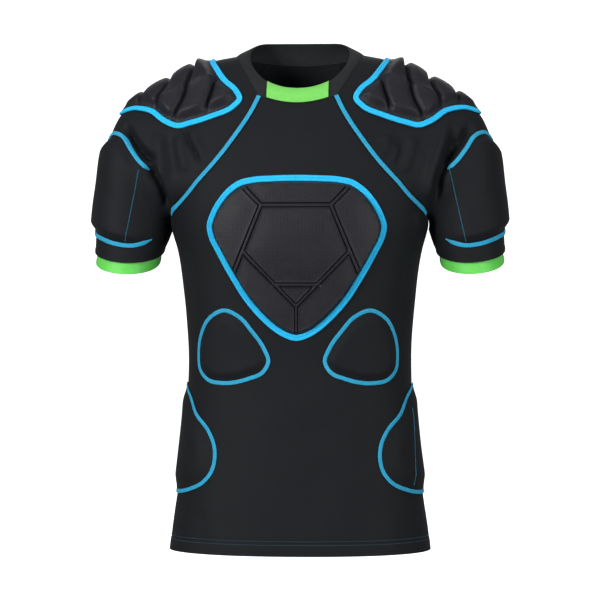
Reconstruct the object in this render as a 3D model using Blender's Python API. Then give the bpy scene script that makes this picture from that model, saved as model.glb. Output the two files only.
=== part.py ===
"""Short-sleeved padded rugby vest, filled out as if worn, as hollow cloth solids.

The front faces -Y, the wearer's left is +X, and the origin lies between the shoulders at neck level.
Every size in the tables is in millimetres. The left-hand pieces are worked out and mirrored.
"""
import math

import bmesh
import bpy
import numpy as np
from mathutils import Vector
from mathutils.geometry import delaunay_2d_cdt

COLLECTION_NAME = "short_sleeved_padded_rugby_vest"
METRES = 0.001
CLOTH = 2.0
SEAM_GAP = 0.3
LIFT = 1.0
PAD_LIFT = 1.5
EDGE_GAP = 0.4
RAMP_SHARE = 0.8

# Torso sections: height, half width, front depth, back depth, squareness
TORSO = np.array((
    (-660.0, 176.5, 110.0, 112.0, 2.30),
    (-636.0, 174.0, 109.0, 111.0, 2.30),
    (-568.0, 164.5, 105.0, 106.0, 2.35),
    (-486.0, 154.5, 101.0, 98.0, 2.40),
    (-405.0, 151.5, 100.0, 95.0, 2.40),
    (-323.0, 156.5, 108.0, 102.0, 2.40),
    (-255.0, 166.0, 116.0, 110.0, 2.40),
    (-228.0, 173.8, 117.0, 113.0, 2.40),
    (-162.0, 179.0, 112.0, 114.0, 2.40),
    (-106.0, 172.0, 97.0, 109.0, 2.40),
    (-60.0, 152.0, 78.0, 98.0, 2.30),
    (-20.0, 125.0, 62.0, 84.0, 2.20),
    (12.0, 104.0, 54.0, 72.0, 2.20),
))
HEM_HEIGHT = -660.0
ARMPIT_HEIGHT = -228.0

# Raglan seams from the neck to the armpit: front angle round the torso and height, back angle and height
RAGLAN_SEAMS = np.array((
    (36.9, -50.4, 35.5, 6.0),
    (39.5, -77.5, 37.0, -35.0),
    (43.7, -106.0, 41.0, -75.0),
    (49.3, -135.0, 47.5, -115.0),
    (56.7, -162.0, 56.0, -152.0),
    (66.5, -190.0, 66.5, -188.0),
    (90.0, -228.0, 90.0, -228.0),
))

# Underarm seam on from the armpit: row, x, height
UNDERARM_SEAM = np.array((
    (6.0, 173.8, -228.0),
    (7.0, 179.0, -243.0),
    (8.0, 185.0, -257.0),
    (9.0, 188.5, -273.0),
))

# Sleeve sections, the same rows: ridge x, y and z, and the slope of the section plane towards the front
SLEEVE_RIDGE = np.array((
    (87.0, 8.0, 9.0, 0.00),
    (124.0, 6.0, 0.0, 0.00),
    (165.0, 4.0, -24.0, 0.00),
    (208.0, 1.0, -49.0, 0.00),
    (242.0, -2.0, -70.0, 0.00),
    (262.0, -4.0, -116.0, 0.00),
    (270.0, -5.0, -172.0, 0.00),
    (275.0, -7.0, -215.0, 0.20),
    (277.0, -8.0, -251.0, 0.30),
    (278.0, -8.0, -267.0, 0.30),
))

# Sleeve sections, the same rows: how far the cloth is drawn outwards from the front seam and the depth
# it is drawn to, the same for the back seam, and how far it runs level over the ridge
SLEEVE_FORM = np.array((
    (29.0, -54.0, 24.0, 57.0, 34.0),
    (42.0, -61.0, 36.0, 70.0, 42.0),
    (52.0, -65.0, 48.0, 83.0, 48.0),
    (60.0, -66.0, 57.0, 85.0, 52.0),
    (62.0, -68.0, 61.0, 80.0, 58.0),
    (56.0, -74.0, 56.0, 78.0, 68.0),
    (0.0, -81.0, 0.0, 81.0, 80.0),
    (0.0, -83.0, 0.0, 83.0, 82.0),
    (0.0, -83.0, 0.0, 83.0, 83.0),
    (0.0, -82.0, 0.0, 82.0, 82.0),
))
ARMPIT_ROW = 6
RAGLAN_ROWS = np.array((0.0, 0.6, 1.3, 2.1, 2.9, 3.7, 4.5, 5.2, 5.65, 5.87, 6.0))
TUBE_ROWS = np.array((6.5, 7.0, 7.5, 8.0))

FRONT_NECK_DIP = 12.0
BACK_NECK_DIP = 3.0
PANEL_COLUMNS = 24
PANEL_LOWER_ROWS = 11
SLEEVE_COLUMNS = 20

# Collar rim from centre front to centre back: x, y, z
COLLAR_RIM = np.array((
    (0.0, -68.0, -42.5),
    (16.0, -67.0, -41.0),
    (42.0, -56.0, -31.0),
    (58.0, -37.0, -15.0),
    (67.0, -8.0, 5.0),
    (66.0, 18.0, 19.0),
    (57.0, 42.0, 29.0),
    (32.0, 61.0, 32.0),
    (0.0, 66.0, 32.5),
))
COLLAR_BULGE = 3.0
COLLAR_STEPS = 2
LABEL_HALF_WIDTH = 41.0
LABEL_THICKNESS = 1.0
LABEL_STEPS = 5

CUFF_WALL = 1.5
CUFF_COLUMNS = 24

# Inner cuff sections: sleeve row, and how far inside the sleeve's outer face the cuff lies
CUFF_SECTIONS = np.array((
    (7.30, 4.0),
    (8.00, 3.6),
    (8.96, 1.2),
))

# Chest pad, outer line of its edging from top centre to bottom centre: x, z
CHEST_LINE = (
    (0.0, -160.3), (30.0, -160.9), (58.7, -162.9), (74.0, -166.5), (88.0, -175.7), (101.5, -190.5),
    (112.2, -209.0), (117.3, -226.4), (114.4, -241.4), (103.0, -264.7), (85.7, -296.0), (68.3, -323.8),
    (46.7, -348.9), (33.0, -361.5), (17.5, -371.7), (0.0, -376.9),
)
CHEST_EDGING = 7.8
CHEST_HEIGHT = 8.5

# Chest pad grooves, one line each: start x and z, end x and z; side ones are mirrored
CHEST_SIDE_GROOVES = (
    (66.0, -178.0, 45.0, -200.0),
    (45.0, -200.0, 79.0, -285.0),
    (66.6, -260.8, 0.0, -331.0),
)
CHEST_MIDDLE_GROOVES = (
    (-45.0, -200.0, 45.0, -200.0),
    (-29.0, -302.5, 29.0, -302.5),
    (0.0, -331.0, 0.0, -358.0),
)

# Rib pad, middle line of its tape, seen from the front: x, z
RIB_LINE = (
    (95.0, -337.0), (116.0, -347.5), (127.0, -367.0), (131.5, -394.0), (129.0, -417.0), (118.0, -429.5),
    (98.0, -433.2), (62.5, -426.8), (44.0, -418.0), (37.0, -404.5), (43.5, -386.0), (59.0, -364.0),
    (75.0, -346.0),
)
RIB_TAPE = 5.2
RIB_HEIGHT = 5.0

# Hip pad, middle line of its tape on the front half from the side seam down: x, z
HIP_LINE = (
    (145.0, -452.0), (135.5, -475.0), (118.5, -496.0), (110.0, -516.0), (109.0, -534.0), (114.0, -552.0),
    (127.0, -567.0), (145.0, -576.0),
)
HIP_TOP = -437.0
HIP_BOTTOM = -581.0
HIP_TAPE = 5.2
HIP_HEIGHT = 5.0

# Shoulder pad, middle line of its edging on the front half, from the neck end to the arm end: x, z
SHOULDER_LINE = (
    (112.0, -12.0), (97.6, -31.0), (82.0, -46.0), (77.0, -56.0), (85.0, -67.0), (113.0, -78.5),
    (143.0, -88.5), (162.0, -91.5), (177.0, -85.5), (196.0, -71.5), (218.0, -66.0), (238.0, -69.0),
)
SHOULDER_NECK_ROW = 0.88
SHOULDER_ARM_ROW = 3.98
SHOULDER_EDGING = 7.4
SHOULDER_HEIGHT = 12.5

# Shoulder pad grooves on the front half, each from the ridge down: x, z
SHOULDER_GROOVES = (
    ((107.0, -27.0), (114.0, -49.5), (121.0, -70.0)),
    ((140.0, -9.0), (143.0, -30.0), (152.0, -58.0), (164.0, -81.0)),
    ((171.0, -27.0), (177.0, -44.0), (188.0, -66.0)),
    ((204.0, -44.0), (212.0, -58.0)),
    ((106.0, -27.5), (140.0, -40.5), (172.0, -53.0), (189.0, -62.0)),
)

# Arm pad, middle line of its tapes on the front half: x, z along the top, then along the bottom
ARM_TOP_LINE = (
    (247.0, -99.0), (234.0, -106.0), (223.0, -122.6), (211.0, -138.0), (200.0, -150.0),
)
ARM_BOTTOM_LINE = (
    (197.0, -242.0), (206.0, -247.0), (221.0, -251.0), (241.0, -249.0), (262.0, -241.0),
)
ARM_TOP_ROW = 4.86
ARM_BOTTOM_ROW = 7.3
ARM_TAPE = 5.4
ARM_HEIGHT = 7.0

RAGLAN_TAPE = 5.6
RAGLAN_TAPE_ROWS = (0.06, 5.42)
RAGLAN_TAPE_POINTS = 13
TAPE_THICKNESS = 1.2
EDGING_THICKNESS = 2.6

# Colours as linear red, green, blue with a roughness
BLACK_KNIT = (0.018, 0.019, 0.022, 0.80)
PAD_COVER = (0.030, 0.031, 0.036, 0.62)
COLLAR_KNIT = (0.018, 0.020, 0.022, 0.85)
EDGING_BLUE = (0.022, 0.500, 0.930, 0.45)
SEAM_BLUE = (0.028, 0.350, 0.600, 0.55)
CUFF_GREEN = (0.215, 0.700, 0.160, 0.70)
LABEL_GREEN = (0.310, 0.800, 0.240, 0.65)


def through(knots, values, at):
    """Smooth values between table rows, with slopes taken from the neighbouring rows."""
    knots = np.asarray(knots, dtype=float)
    values = np.asarray(values, dtype=float)
    slopes = np.gradient(values, knots, axis=0)
    at = np.clip(np.asarray(at, dtype=float), knots[0], knots[-1])
    low = np.clip(np.searchsorted(knots, at, side="right") - 1, 0, len(knots) - 2)
    step = (knots[low + 1] - knots[low])[:, None]
    part = (at[:, None] - knots[low][:, None]) / step
    square = part * part
    cube = square * part
    start = (2.0 * cube - 3.0 * square + 1.0) * values[low]
    start_slope = (cube - 2.0 * square + part) * step * slopes[low]
    end = (3.0 * square - 2.0 * cube) * values[low + 1]
    end_slope = (cube - square) * step * slopes[low + 1]
    return start + start_slope + end + end_slope


def unit(vectors):
    """Vectors scaled to length one."""
    lengths = np.linalg.norm(vectors, axis=-1, keepdims=True)
    return vectors / np.maximum(lengths, 1e-9)


def torso_sizes(height):
    """Half width, front depth, back depth and squareness at each height."""
    sizes = through(TORSO[:, 0], TORSO[:, 1:], height)
    return sizes[:, 0], sizes[:, 1], sizes[:, 2], sizes[:, 3]


def torso(params):
    """Torso points at (angle from the front, height)."""
    angle = params[:, 0]
    height = params[:, 1]
    width, front, back, square = torso_sizes(height)
    depth = np.where(np.cos(angle) >= 0.0, front, back)
    across = np.abs(np.sin(angle)) / width
    along = np.abs(np.cos(angle)) / depth
    radius = (across ** square + along ** square) ** (-1.0 / square)
    return np.stack((radius * np.sin(angle), -radius * np.cos(angle), height), axis=1)


def torso_depth(x, height, facing):
    """Depth of the torso at x, on its front (facing -1) or its back (facing 1)."""
    width, front, back, square = torso_sizes(height)
    depth = front if facing < 0 else back
    share = np.clip(np.abs(x) / width, 0.0, 1.0)
    return facing * depth * (1.0 - share ** square) ** (1.0 / square)


def torso_at(line):
    """Torso angle and height of points given as front-view x and z."""
    line = np.asarray(line, dtype=float)
    depth = torso_depth(line[:, 0], line[:, 1], -1)
    return np.stack((np.arctan2(line[:, 0], -depth), line[:, 1]), axis=1)


def bezier(points, part):
    """Points along a cubic with four control points."""
    rest = 1.0 - part
    first = rest ** 3 * points[0] + 3.0 * rest ** 2 * part * points[1]
    return first + 3.0 * rest * part ** 2 * points[2] + part ** 3 * points[3]


def seam_points(rows, facing):
    """Raglan seam points on the torso at sleeve rows, continued by the underarm seam."""
    seams = through(np.arange(len(RAGLAN_SEAMS)), RAGLAN_SEAMS, rows)
    angle, height = (seams[:, 0], seams[:, 1]) if facing < 0 else (180.0 - seams[:, 2], seams[:, 3])
    raglan = torso(np.stack((np.radians(angle), height), axis=1))
    under = through(UNDERARM_SEAM[:, 0], UNDERARM_SEAM[:, 1:], rows)
    tube = np.stack((under[:, 0], np.zeros(len(rows)), under[:, 1]), axis=1)
    return np.where((rows < ARMPIT_ROW)[:, None], raglan, tube)


def sleeve_half(rows, part, facing):
    """Half a sleeve section from its seam to the ridge of the shoulder."""
    ridge = through(np.arange(len(SLEEVE_RIDGE)), SLEEVE_RIDGE, rows)
    form = through(np.arange(len(SLEEVE_FORM)), SLEEVE_FORM, rows)
    seam = seam_points(rows, facing)
    top = ridge[:, :3]
    column = 0 if facing < 0 else 2
    outward = top - seam
    outward[:, 1] = 0.0
    drawn = seam + unit(outward) * np.maximum(form[:, column], 0.0)[:, None]
    drawn[:, 1] = form[:, column + 1]
    level = top.copy()
    level[:, 1] += facing * form[:, 4]
    controls = (seam, drawn, level, top)
    points = bezier(controls, part[:, None])
    points[:, 2] += np.where(rows > ARMPIT_ROW, ridge[:, 3], 0.0) * points[:, 1]
    return points


def sleeve(params):
    """Sleeve points at (row, part of the way over from the front seam to the back seam)."""
    rows = params[:, 0]
    over = params[:, 1]
    front = sleeve_half(rows, np.clip(2.0 * over, 0.0, 1.0), -1)
    back = sleeve_half(rows, np.clip(2.0 - 2.0 * over, 0.0, 1.0), 1)
    return np.where((over <= 0.5)[:, None], front, back)


def sleeve_at(line):
    """Sleeve row and part over of points on its front half, given as front-view x and z."""
    rows, over = np.meshgrid(np.linspace(0.0, 8.0, 321), np.linspace(0.0, 0.5, 121), indexing="ij")
    params = np.stack((rows.ravel(), over.ravel()), axis=1)
    points = sleeve(params)
    found = []
    for x, z in line:
        miss = (points[:, 0] - x) ** 2 + (points[:, 2] - z) ** 2
        found.append(params[np.argmin(miss)])
    return np.array(found)


def surface_frame(surface, params, steps):
    """Points, outward normals and the two slopes of a surface at its parameters."""
    first = np.array((steps[0], 0.0))
    second = np.array((0.0, steps[1]))
    along = (surface(params + first) - surface(params - first)) / (2.0 * steps[0])
    across = (surface(params + second) - surface(params - second)) / (2.0 * steps[1])
    return surface(params), unit(np.cross(along, across)), along, across


class Surface:
    """A cloth surface with its finite steps and the lengths that make its parameters nearly flat."""

    def __init__(self, points, steps, scale):
        self.points = points
        self.steps = steps
        self.scale = np.array(scale)

    def frame(self, params):
        return surface_frame(self.points, params, self.steps)

    def raised(self, params, heights):
        points, normals, _, _ = self.frame(params)
        return points + normals * np.asarray(heights)[:, None]

    def moved(self, params, shifts):
        """Parameters moved along the surface by a shift in millimetres."""
        _, _, along, across = self.frame(params)
        first = np.sum(along * along, axis=1)
        mixed = np.sum(along * across, axis=1)
        second = np.sum(across * across, axis=1)
        right = np.sum(along * shifts, axis=1)
        left = np.sum(across * shifts, axis=1)
        area = first * second - mixed * mixed
        change = np.stack((second * right - mixed * left, first * left - mixed * right), axis=1)
        return params + change / area[:, None]

    def sideways(self, params, closed):
        """Unit vectors in the surface at right angles to a line on it."""
        points, normals, _, _ = self.frame(params)
        if closed:
            direction = np.roll(points, -1, axis=0) - np.roll(points, 1, axis=0)
        else:
            direction = np.gradient(points, axis=0)
        return unit(np.cross(normals, unit(direction)))

    def inset(self, params, distance):
        """A closed line moved inwards along the surface."""
        side = self.sideways(params, True)
        centre = np.mean(self.points(params), axis=0)
        if np.sum(side * (centre - self.points(params))) < 0.0:
            side = -side
        return self.moved(params, side * distance)


TORSO_SURFACE = Surface(torso, (0.01, 1.0), (130.0, 1.0))
SLEEVE_SURFACE = Surface(sleeve, (0.02, 0.004), (38.0, 270.0))


def closed_curve(points, count):
    """Evenly spaced points on a smooth closed curve through a few points."""
    points = np.asarray(points, dtype=float)
    wrapped = np.concatenate((points[-3:], points, points[:4]))
    steps = np.linalg.norm(np.diff(wrapped, axis=0), axis=1)
    knots = np.concatenate(((0.0,), np.cumsum(steps)))
    knots = knots - knots[3]
    length = knots[3 + len(points)]
    fine = through(knots, wrapped, np.linspace(0.0, length, 600, endpoint=False))
    fine = np.concatenate((fine, fine[:1]))
    distance = np.concatenate(((0.0,), np.cumsum(np.linalg.norm(np.diff(fine, axis=0), axis=1))))
    targets = np.linspace(0.0, distance[-1], count, endpoint=False)
    return np.stack([np.interp(targets, distance, fine[:, axis]) for axis in range(2)], axis=1)


def open_curve(points, count):
    """Evenly spaced points on a smooth line through a few points."""
    points = np.asarray(points, dtype=float)
    steps = np.linalg.norm(np.diff(points, axis=0), axis=1)
    knots = np.concatenate(((0.0,), np.cumsum(steps)))
    return through(knots, points, np.linspace(0.0, knots[-1], count))


def on_scale(surface, params, shape, count):
    """A smooth line through parameters, spaced by length on the surface."""
    return shape(params * surface.scale, count) / surface.scale


def mirrored(points):
    """Points on the other side of the garment."""
    return points * np.array((-1.0, 1.0, 1.0))


def grid_faces(rows, columns, start, flip):
    """Triangles of a grid whose points begin at start, all cut along the same diagonal."""
    faces = []
    for row in range(rows - 1):
        for column in range(columns - 1):
            corner = start + row * columns + column
            beside = corner + 1
            above = corner + columns
            for face in ((corner, beside, above + 1), (corner, above + 1, above)):
                faces.append(face[::-1] if flip else face)
    return faces


def grid_border(rows, columns):
    """Indices round the edge of a grid, in order."""
    top = [column for column in range(columns)]
    right = [row * columns + columns - 1 for row in range(1, rows)]
    bottom = [(rows - 1) * columns + column for column in range(columns - 2, -1, -1)]
    left = [row * columns for row in range(rows - 2, 0, -1)]
    return top + right + bottom + left


def wall_from_grids(outer, inner):
    """Closed solid between two grids of the same size."""
    rows, columns = outer.shape[:2]
    count = rows * columns
    points = np.concatenate((outer.reshape(-1, 3), inner.reshape(-1, 3)))
    faces = grid_faces(rows, columns, 0, False) + grid_faces(rows, columns, count, True)
    border = grid_border(rows, columns)
    for place, index in enumerate(border):
        after = border[(place + 1) % len(border)]
        faces.append((after, index, index + count, after + count))
    return points, faces


def edge_step(edge, beside):
    """Half a seam gap from an edge towards the points beside it, at right angles to the edge."""
    along = unit(np.gradient(edge, axis=0))
    step = beside - edge
    step = step - along * np.sum(along * step, axis=1)[:, None]
    return 0.5 * SEAM_GAP * unit(step)


def pull_in(points, neck_row, after_neck):
    """Move the side edges and the neck edge of a grid inwards by half the seam gap."""
    moved = points.copy()
    moved[:, 0] += edge_step(points[:, 0], points[:, 1])
    moved[:, -1] += edge_step(points[:, -1], points[:, -2])
    moved[neck_row] += edge_step(points[neck_row], points[after_neck])
    return moved


def torso_panel_params(facing):
    """Angles and heights of the front or back panel, rows from the hem to the neck."""
    share = np.linspace(-1.0, 1.0, PANEL_COLUMNS + 1)
    dip = FRONT_NECK_DIP if facing < 0 else BACK_NECK_DIP
    rows = []
    for height in np.linspace(HEM_HEIGHT, ARMPIT_HEIGHT, PANEL_LOWER_ROWS + 1)[:-1]:
        rows.append(np.stack((share * 0.5 * math.pi, np.full_like(share, height)), axis=1))
    for row, point in zip(RAGLAN_ROWS[::-1], seam_points(RAGLAN_ROWS[::-1], facing)):
        reach = math.atan2(point[0], abs(point[1]))
        lower = dip * (1.0 - row / ARMPIT_ROW) ** 2
        heights = point[2] - lower * (1.0 - share ** 2)
        rows.append(np.stack((share * reach, heights), axis=1))
    params = np.array(rows)
    if facing > 0:
        params[:, :, 0] = math.pi - params[:, :, 0]
    return params


def sleeve_params():
    """Rows and parts over of the left sleeve, from the neck to the cuff."""
    rows = np.concatenate((RAGLAN_ROWS, TUBE_ROWS))
    over = np.linspace(0.0, 1.0, SLEEVE_COLUMNS + 1)
    return np.stack(np.meshgrid(rows, over, indexing="ij"), axis=2)


def framed_grid(surface, params):
    """Grids of points and outward normals of a surface."""
    points, normals, _, _ = surface.frame(params.reshape(-1, 2))
    shape = params.shape[:2] + (3,)
    return points.reshape(shape), normals.reshape(shape)


def make_material(name, colour):
    """Plain cloth material."""
    material = bpy.data.materials.new(name)
    material.use_nodes = True
    shader = material.node_tree.nodes["Principled BSDF"]
    shader.inputs["Base Color"].default_value = (*colour[:3], 1.0)
    shader.inputs["Roughness"].default_value = colour[3]
    shader.inputs["Metallic"].default_value = 0.0
    material.diffuse_color = (*colour[:3], 1.0)
    return material


def add_piece(collection, name, points, faces, colour):
    """One named solid with its own material, faces turned outwards."""
    mesh = bpy.data.meshes.new(name)
    mesh.from_pydata([Vector(point) * METRES for point in points], [], faces)
    shape = bmesh.new()
    shape.from_mesh(mesh)
    bmesh.ops.recalc_face_normals(shape, faces=shape.faces)
    shape.to_mesh(mesh)
    shape.free()
    mesh.materials.append(make_material(name, colour))
    piece = bpy.data.objects.new(name, mesh)
    collection.objects.link(piece)
    return piece


def add_pair(collection, name, points, faces, colour):
    """The left piece and its mirrored right twin."""
    add_piece(collection, name + "_left", points, faces, colour)
    add_piece(collection, name + "_right", mirrored(points), faces, colour)


def inner_grid(outer, normals):
    """Inside of a cloth wall."""
    return outer - normals * CLOTH


def torso_panel(facing):
    """Outer and inner grids of the front or back panel."""
    points, normals = framed_grid(TORSO_SURFACE, torso_panel_params(facing))
    outer = pull_in(points, -1, -2)
    return outer, inner_grid(outer, normals)


def sleeve_panel():
    """Outer and inner grids of the left sleeve."""
    points, normals = framed_grid(SLEEVE_SURFACE, sleeve_params())
    outer = pull_in(points, 0, 1)
    return outer, inner_grid(outer, normals)


def neck_edge(outer, inner, first_row, second_row):
    """Outer and inner edge of a panel at the neck, with the way up out of it."""
    rise = unit(outer[first_row] - outer[second_row])
    return np.stack((outer[first_row], inner[first_row], rise), axis=1)


def collar_base(front, back, sleeve_walls):
    """Half ring of panel edges from centre front to centre back on the left side."""
    middle = PANEL_COLUMNS // 2
    front_edge = neck_edge(*front, -1, -2)[middle::4]
    sleeve_edge = neck_edge(*sleeve_walls, 0, 1)
    back_edge = neck_edge(*back, -1, -2)[::-1][:middle + 1:4]
    return np.concatenate((front_edge[:-1], sleeve_edge, back_edge[1:]))


def collar_shape(front, back, sleeve_walls):
    """Outer and inner grids of half the collar, from centre front to centre back."""
    base = collar_base(front, back, sleeve_walls)
    outer_base = base[:, 0] + base[:, 2] * SEAM_GAP
    inner_base = base[:, 1] + base[:, 2] * SEAM_GAP
    lengths = np.concatenate(((0.0,), np.cumsum(np.linalg.norm(np.diff(outer_base, axis=0), axis=1))))
    rim_steps = np.concatenate(((0.0,), np.cumsum(np.linalg.norm(np.diff(COLLAR_RIM, axis=0), axis=1))))
    rim = through(rim_steps, COLLAR_RIM, lengths / lengths[-1] * rim_steps[-1])
    inward = unit(inner_base - outer_base)
    rim_inner = rim + inward * CLOTH
    outer_rows = []
    inner_rows = []
    for part in np.linspace(0.0, 1.0, COLLAR_STEPS + 1):
        bulge = COLLAR_BULGE * math.sin(math.pi * part)
        outer_rows.append(outer_base + (rim - outer_base) * part - inward * bulge)
        inner_rows.append(inner_base + (rim_inner - inner_base) * part - inward * bulge)
    return np.array(outer_rows), np.array(inner_rows)


def whole_ring(half):
    """A half ring of rows joined to its mirror image."""
    other = mirrored(half)[:, -2:0:-1]
    return np.concatenate((half, other), axis=1)


def ring_wall(outer, inner):
    """Closed solid between two closed tubes of the same size."""
    rows, columns = outer.shape[:2]
    count = rows * columns
    points = np.concatenate((outer.reshape(-1, 3), inner.reshape(-1, 3)))
    faces = []
    for column in range(columns):
        after = (column + 1) % columns
        for row in range(rows - 1):
            here = row * columns
            above = here + columns
            faces.append((here + column, here + after, above + after, above + column))
            faces.append((count + here + after, count + here + column,
                          count + above + column, count + above + after))
        last = (rows - 1) * columns
        faces.append((after, column, count + column, count + after))
        faces.append((last + column, last + after, count + last + after, count + last + column))
    return points, faces


def label_rows(rows):
    """Collar rows at even steps across, from the middle out to the end of the tab."""
    across = np.linspace(0.0, LABEL_HALF_WIDTH, LABEL_STEPS)
    found = []
    for row in rows:
        front = row[row[:, 1] < 0.0]
        found.append(np.stack([np.interp(across, front[:, 0], front[:, axis]) for axis in range(3)], axis=1))
    return np.array(found)


def label_wall(outer, inner):
    """Bare tab over the front of the collar, from the collar's own rows moved out."""
    out = unit(outer - inner)
    half_low = label_rows(outer + out * LIFT)
    half_high = label_rows(outer + out * (LIFT + LABEL_THICKNESS))
    low = np.concatenate((mirrored(half_low)[:, :0:-1], half_low), axis=1)
    high = np.concatenate((mirrored(half_high)[:, :0:-1], half_high), axis=1)
    return wall_from_grids(high, low)


def cuff_wall():
    """Inner cuff band of the left sleeve, standing out below the sleeve hem."""
    over = np.linspace(0.0, 1.0, CUFF_COLUMNS, endpoint=False)
    row_grid, over_grid = np.meshgrid(CUFF_SECTIONS[:, 0], over, indexing="ij")
    params = np.stack((row_grid.ravel(), over_grid.ravel()), axis=1)
    points = sleeve(params).reshape(len(CUFF_SECTIONS), CUFF_COLUMNS, 3)
    centre = np.mean(points, axis=1, keepdims=True)
    away = points - centre
    away[:, :, 2] = 0.0
    away = unit(away)
    outer = points - away * CUFF_SECTIONS[:, 1, None, None]
    return ring_wall(outer, outer - away * CUFF_WALL)


def inside_outline(points, outline):
    """Which flat points lie inside a closed outline."""
    inside = np.zeros(len(points), dtype=bool)
    before = outline[-1]
    for after in outline:
        crosses = (after[1] > points[:, 1]) != (before[1] > points[:, 1])
        drop = before[1] - after[1]
        drop = drop if abs(drop) > 1e-9 else 1e-9
        place = (before[0] - after[0]) * (points[:, 1] - after[1]) / drop + after[0]
        inside ^= crosses & (points[:, 0] < place)
        before = after
    return inside


def line_distance(points, start, end):
    """Distance of flat points from a straight piece of line."""
    along = end - start
    share = np.clip(((points - start) @ along) / max(along @ along, 1e-9), 0.0, 1.0)
    return np.linalg.norm(points - start - share[:, None] * along, axis=1)


def lines_distance(points, lines):
    """Distance of flat points from the nearest of several lines."""
    nearest = np.full(len(points), 1e6)
    for line in lines:
        for start, end in zip(line[:-1], line[1:]):
            nearest = np.minimum(nearest, line_distance(points, start, end))
    return nearest


def ease(share):
    """Soft rise from nought to one."""
    share = np.clip(share, 0.0, 1.0)
    return share * share * (3.0 - 2.0 * share)


def flat_mesh(outline, lines, spacing, clear):
    """Triangles inside a flat outline, with set lines and evenly spread points."""
    low = np.min(outline, axis=0)
    high = np.max(outline, axis=0)
    closed = np.concatenate((outline, outline[:1]))
    across = np.arange(low[0], high[0], spacing)
    along = np.arange(low[1], high[1], spacing * 0.866)
    spread = []
    for place, second in enumerate(along):
        offset = 0.5 * spacing * (place % 2)
        spread.extend((first + offset, second) for first in across)
    spread = np.array(spread)
    keep = inside_outline(spread, outline)
    keep &= lines_distance(spread, [closed]) > clear
    if lines:
        keep &= lines_distance(spread, lines) > clear
    coords = [Vector(point) for point in outline]
    edges = [(place, (place + 1) % len(outline)) for place in range(len(outline))]
    for line in lines:
        first = len(coords)
        coords.extend(Vector(point) for point in line)
        edges.extend((first + place, first + place + 1) for place in range(len(line) - 1))
    coords.extend(Vector(point) for point in spread[keep])
    found = delaunay_2d_cdt(coords, edges, [list(range(len(outline)))], 1, 1e-4)
    points = np.array([tuple(point) for point in found[0]])
    border = [0] * len(outline)
    for place, sources in enumerate(found[3]):
        for source in sources:
            if source < len(outline):
                border[source] = place
    return points, [tuple(face) for face in found[2]], border


def trimmed(line, outline, spacing, clear):
    """A groove line with evenly spaced points, cut short of the outline."""
    count = max(3, int(np.sum(np.linalg.norm(np.diff(line, axis=0), axis=1)) / spacing) + 1)
    even = open_curve(line, count)
    closed = np.concatenate((outline, outline[:1]))
    keep = inside_outline(even, outline) & (lines_distance(even, [closed]) > clear)
    return even[keep]


def pad_solid(surface, outline, grooves, sizes):
    """Pad on a surface: flat underside, rounded edge, and grooves pressed into its top."""
    height, edge_height, ramp, groove_depth, groove_width, spacing = sizes
    flat = outline * surface.scale
    ring = surface.inset(outline, ramp) * surface.scale
    lines = [trimmed(groove * surface.scale, flat, 0.5 * spacing, 3.0) for groove in grooves]
    ring_line = np.concatenate((ring, ring[:1]))
    top, top_faces, top_border = flat_mesh(flat, [ring_line] + lines, spacing, 0.45 * spacing)
    closed = np.concatenate((flat, flat[:1]))
    rise = ease(lines_distance(top, [closed]) / (RAMP_SHARE * ramp))
    tall = edge_height + (height - edge_height) * rise
    if lines:
        dent = 1.0 - ease(lines_distance(top, lines) / groove_width)
        tall = tall - np.minimum(groove_depth, tall - edge_height) * dent
    low, low_faces, low_border = flat_mesh(flat, [], 0.75 * spacing, 0.4 * spacing)
    upper = surface.raised(top / surface.scale, PAD_LIFT + tall)
    under = surface.raised(low / surface.scale, np.full(len(low), PAD_LIFT))
    count = len(upper)
    faces = list(top_faces)
    faces.extend(tuple(count + index for index in face[::-1]) for face in low_faces)
    for place in range(len(flat)):
        after = (place + 1) % len(flat)
        faces.append((top_border[place], count + low_border[place],
                      count + low_border[after], top_border[after]))
    return np.concatenate((upper, under)), faces


def tape_solid(surface, line, width, thickness, closed, lift=LIFT):
    """Strip of tape along a line on a surface, a little higher in its middle."""
    side = surface.sideways(line, closed)
    points = []
    for share, height in ((-0.5, 0.0), (0.5, 0.0), (0.5, 0.6), (0.0, 1.0), (-0.5, 0.6)):
        moved = surface.moved(line, side * (share * width))
        points.append(surface.raised(moved, np.full(len(line), lift + height * thickness)))
    return strip_faces(np.array(points), closed)


def strip_faces(profile, closed):
    """Solid swept through rows of profile points."""
    corners, count = profile.shape[:2]
    points = profile.reshape(-1, 3)
    faces = []
    for place in range(count if closed else count - 1):
        after = (place + 1) % count
        for corner in range(corners):
            beside = (corner + 1) % corners
            faces.append((corner * count + place, beside * count + place,
                          beside * count + after, corner * count + after))
    if not closed:
        faces.append(tuple(corner * count for corner in range(corners)))
        faces.append(tuple(corner * count + count - 1 for corner in range(corners - 1, -1, -1)))
    return points, faces


def chest_outline(count):
    """Middle line of the chest edging as angle and height, all the way round."""
    half = np.array(CHEST_LINE)
    other = half[-2:0:-1] * np.array((-1.0, 1.0))
    params = torso_at(np.concatenate((half, other)))
    line = on_scale(TORSO_SURFACE, params, closed_curve, count)
    return TORSO_SURFACE.inset(line, 0.5 * CHEST_EDGING)


def straight_groove(ends):
    """A straight groove on the chest as angle and height."""
    start = np.array(ends[:2])
    end = np.array(ends[2:])
    parts = np.linspace(0.0, 1.0, max(2, int(np.linalg.norm(end - start) / 14.0) + 1))
    return torso_at(start + (end - start) * parts[:, None])


def chest_grooves():
    """All grooves of the chest pad."""
    lines = [straight_groove(ends) for ends in CHEST_MIDDLE_GROOVES]
    for x_start, z_start, x_end, z_end in CHEST_SIDE_GROOVES:
        lines.append(straight_groove((x_start, z_start, x_end, z_end)))
        lines.append(straight_groove((-x_start, z_start, -x_end, z_end)))
    return lines


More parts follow.
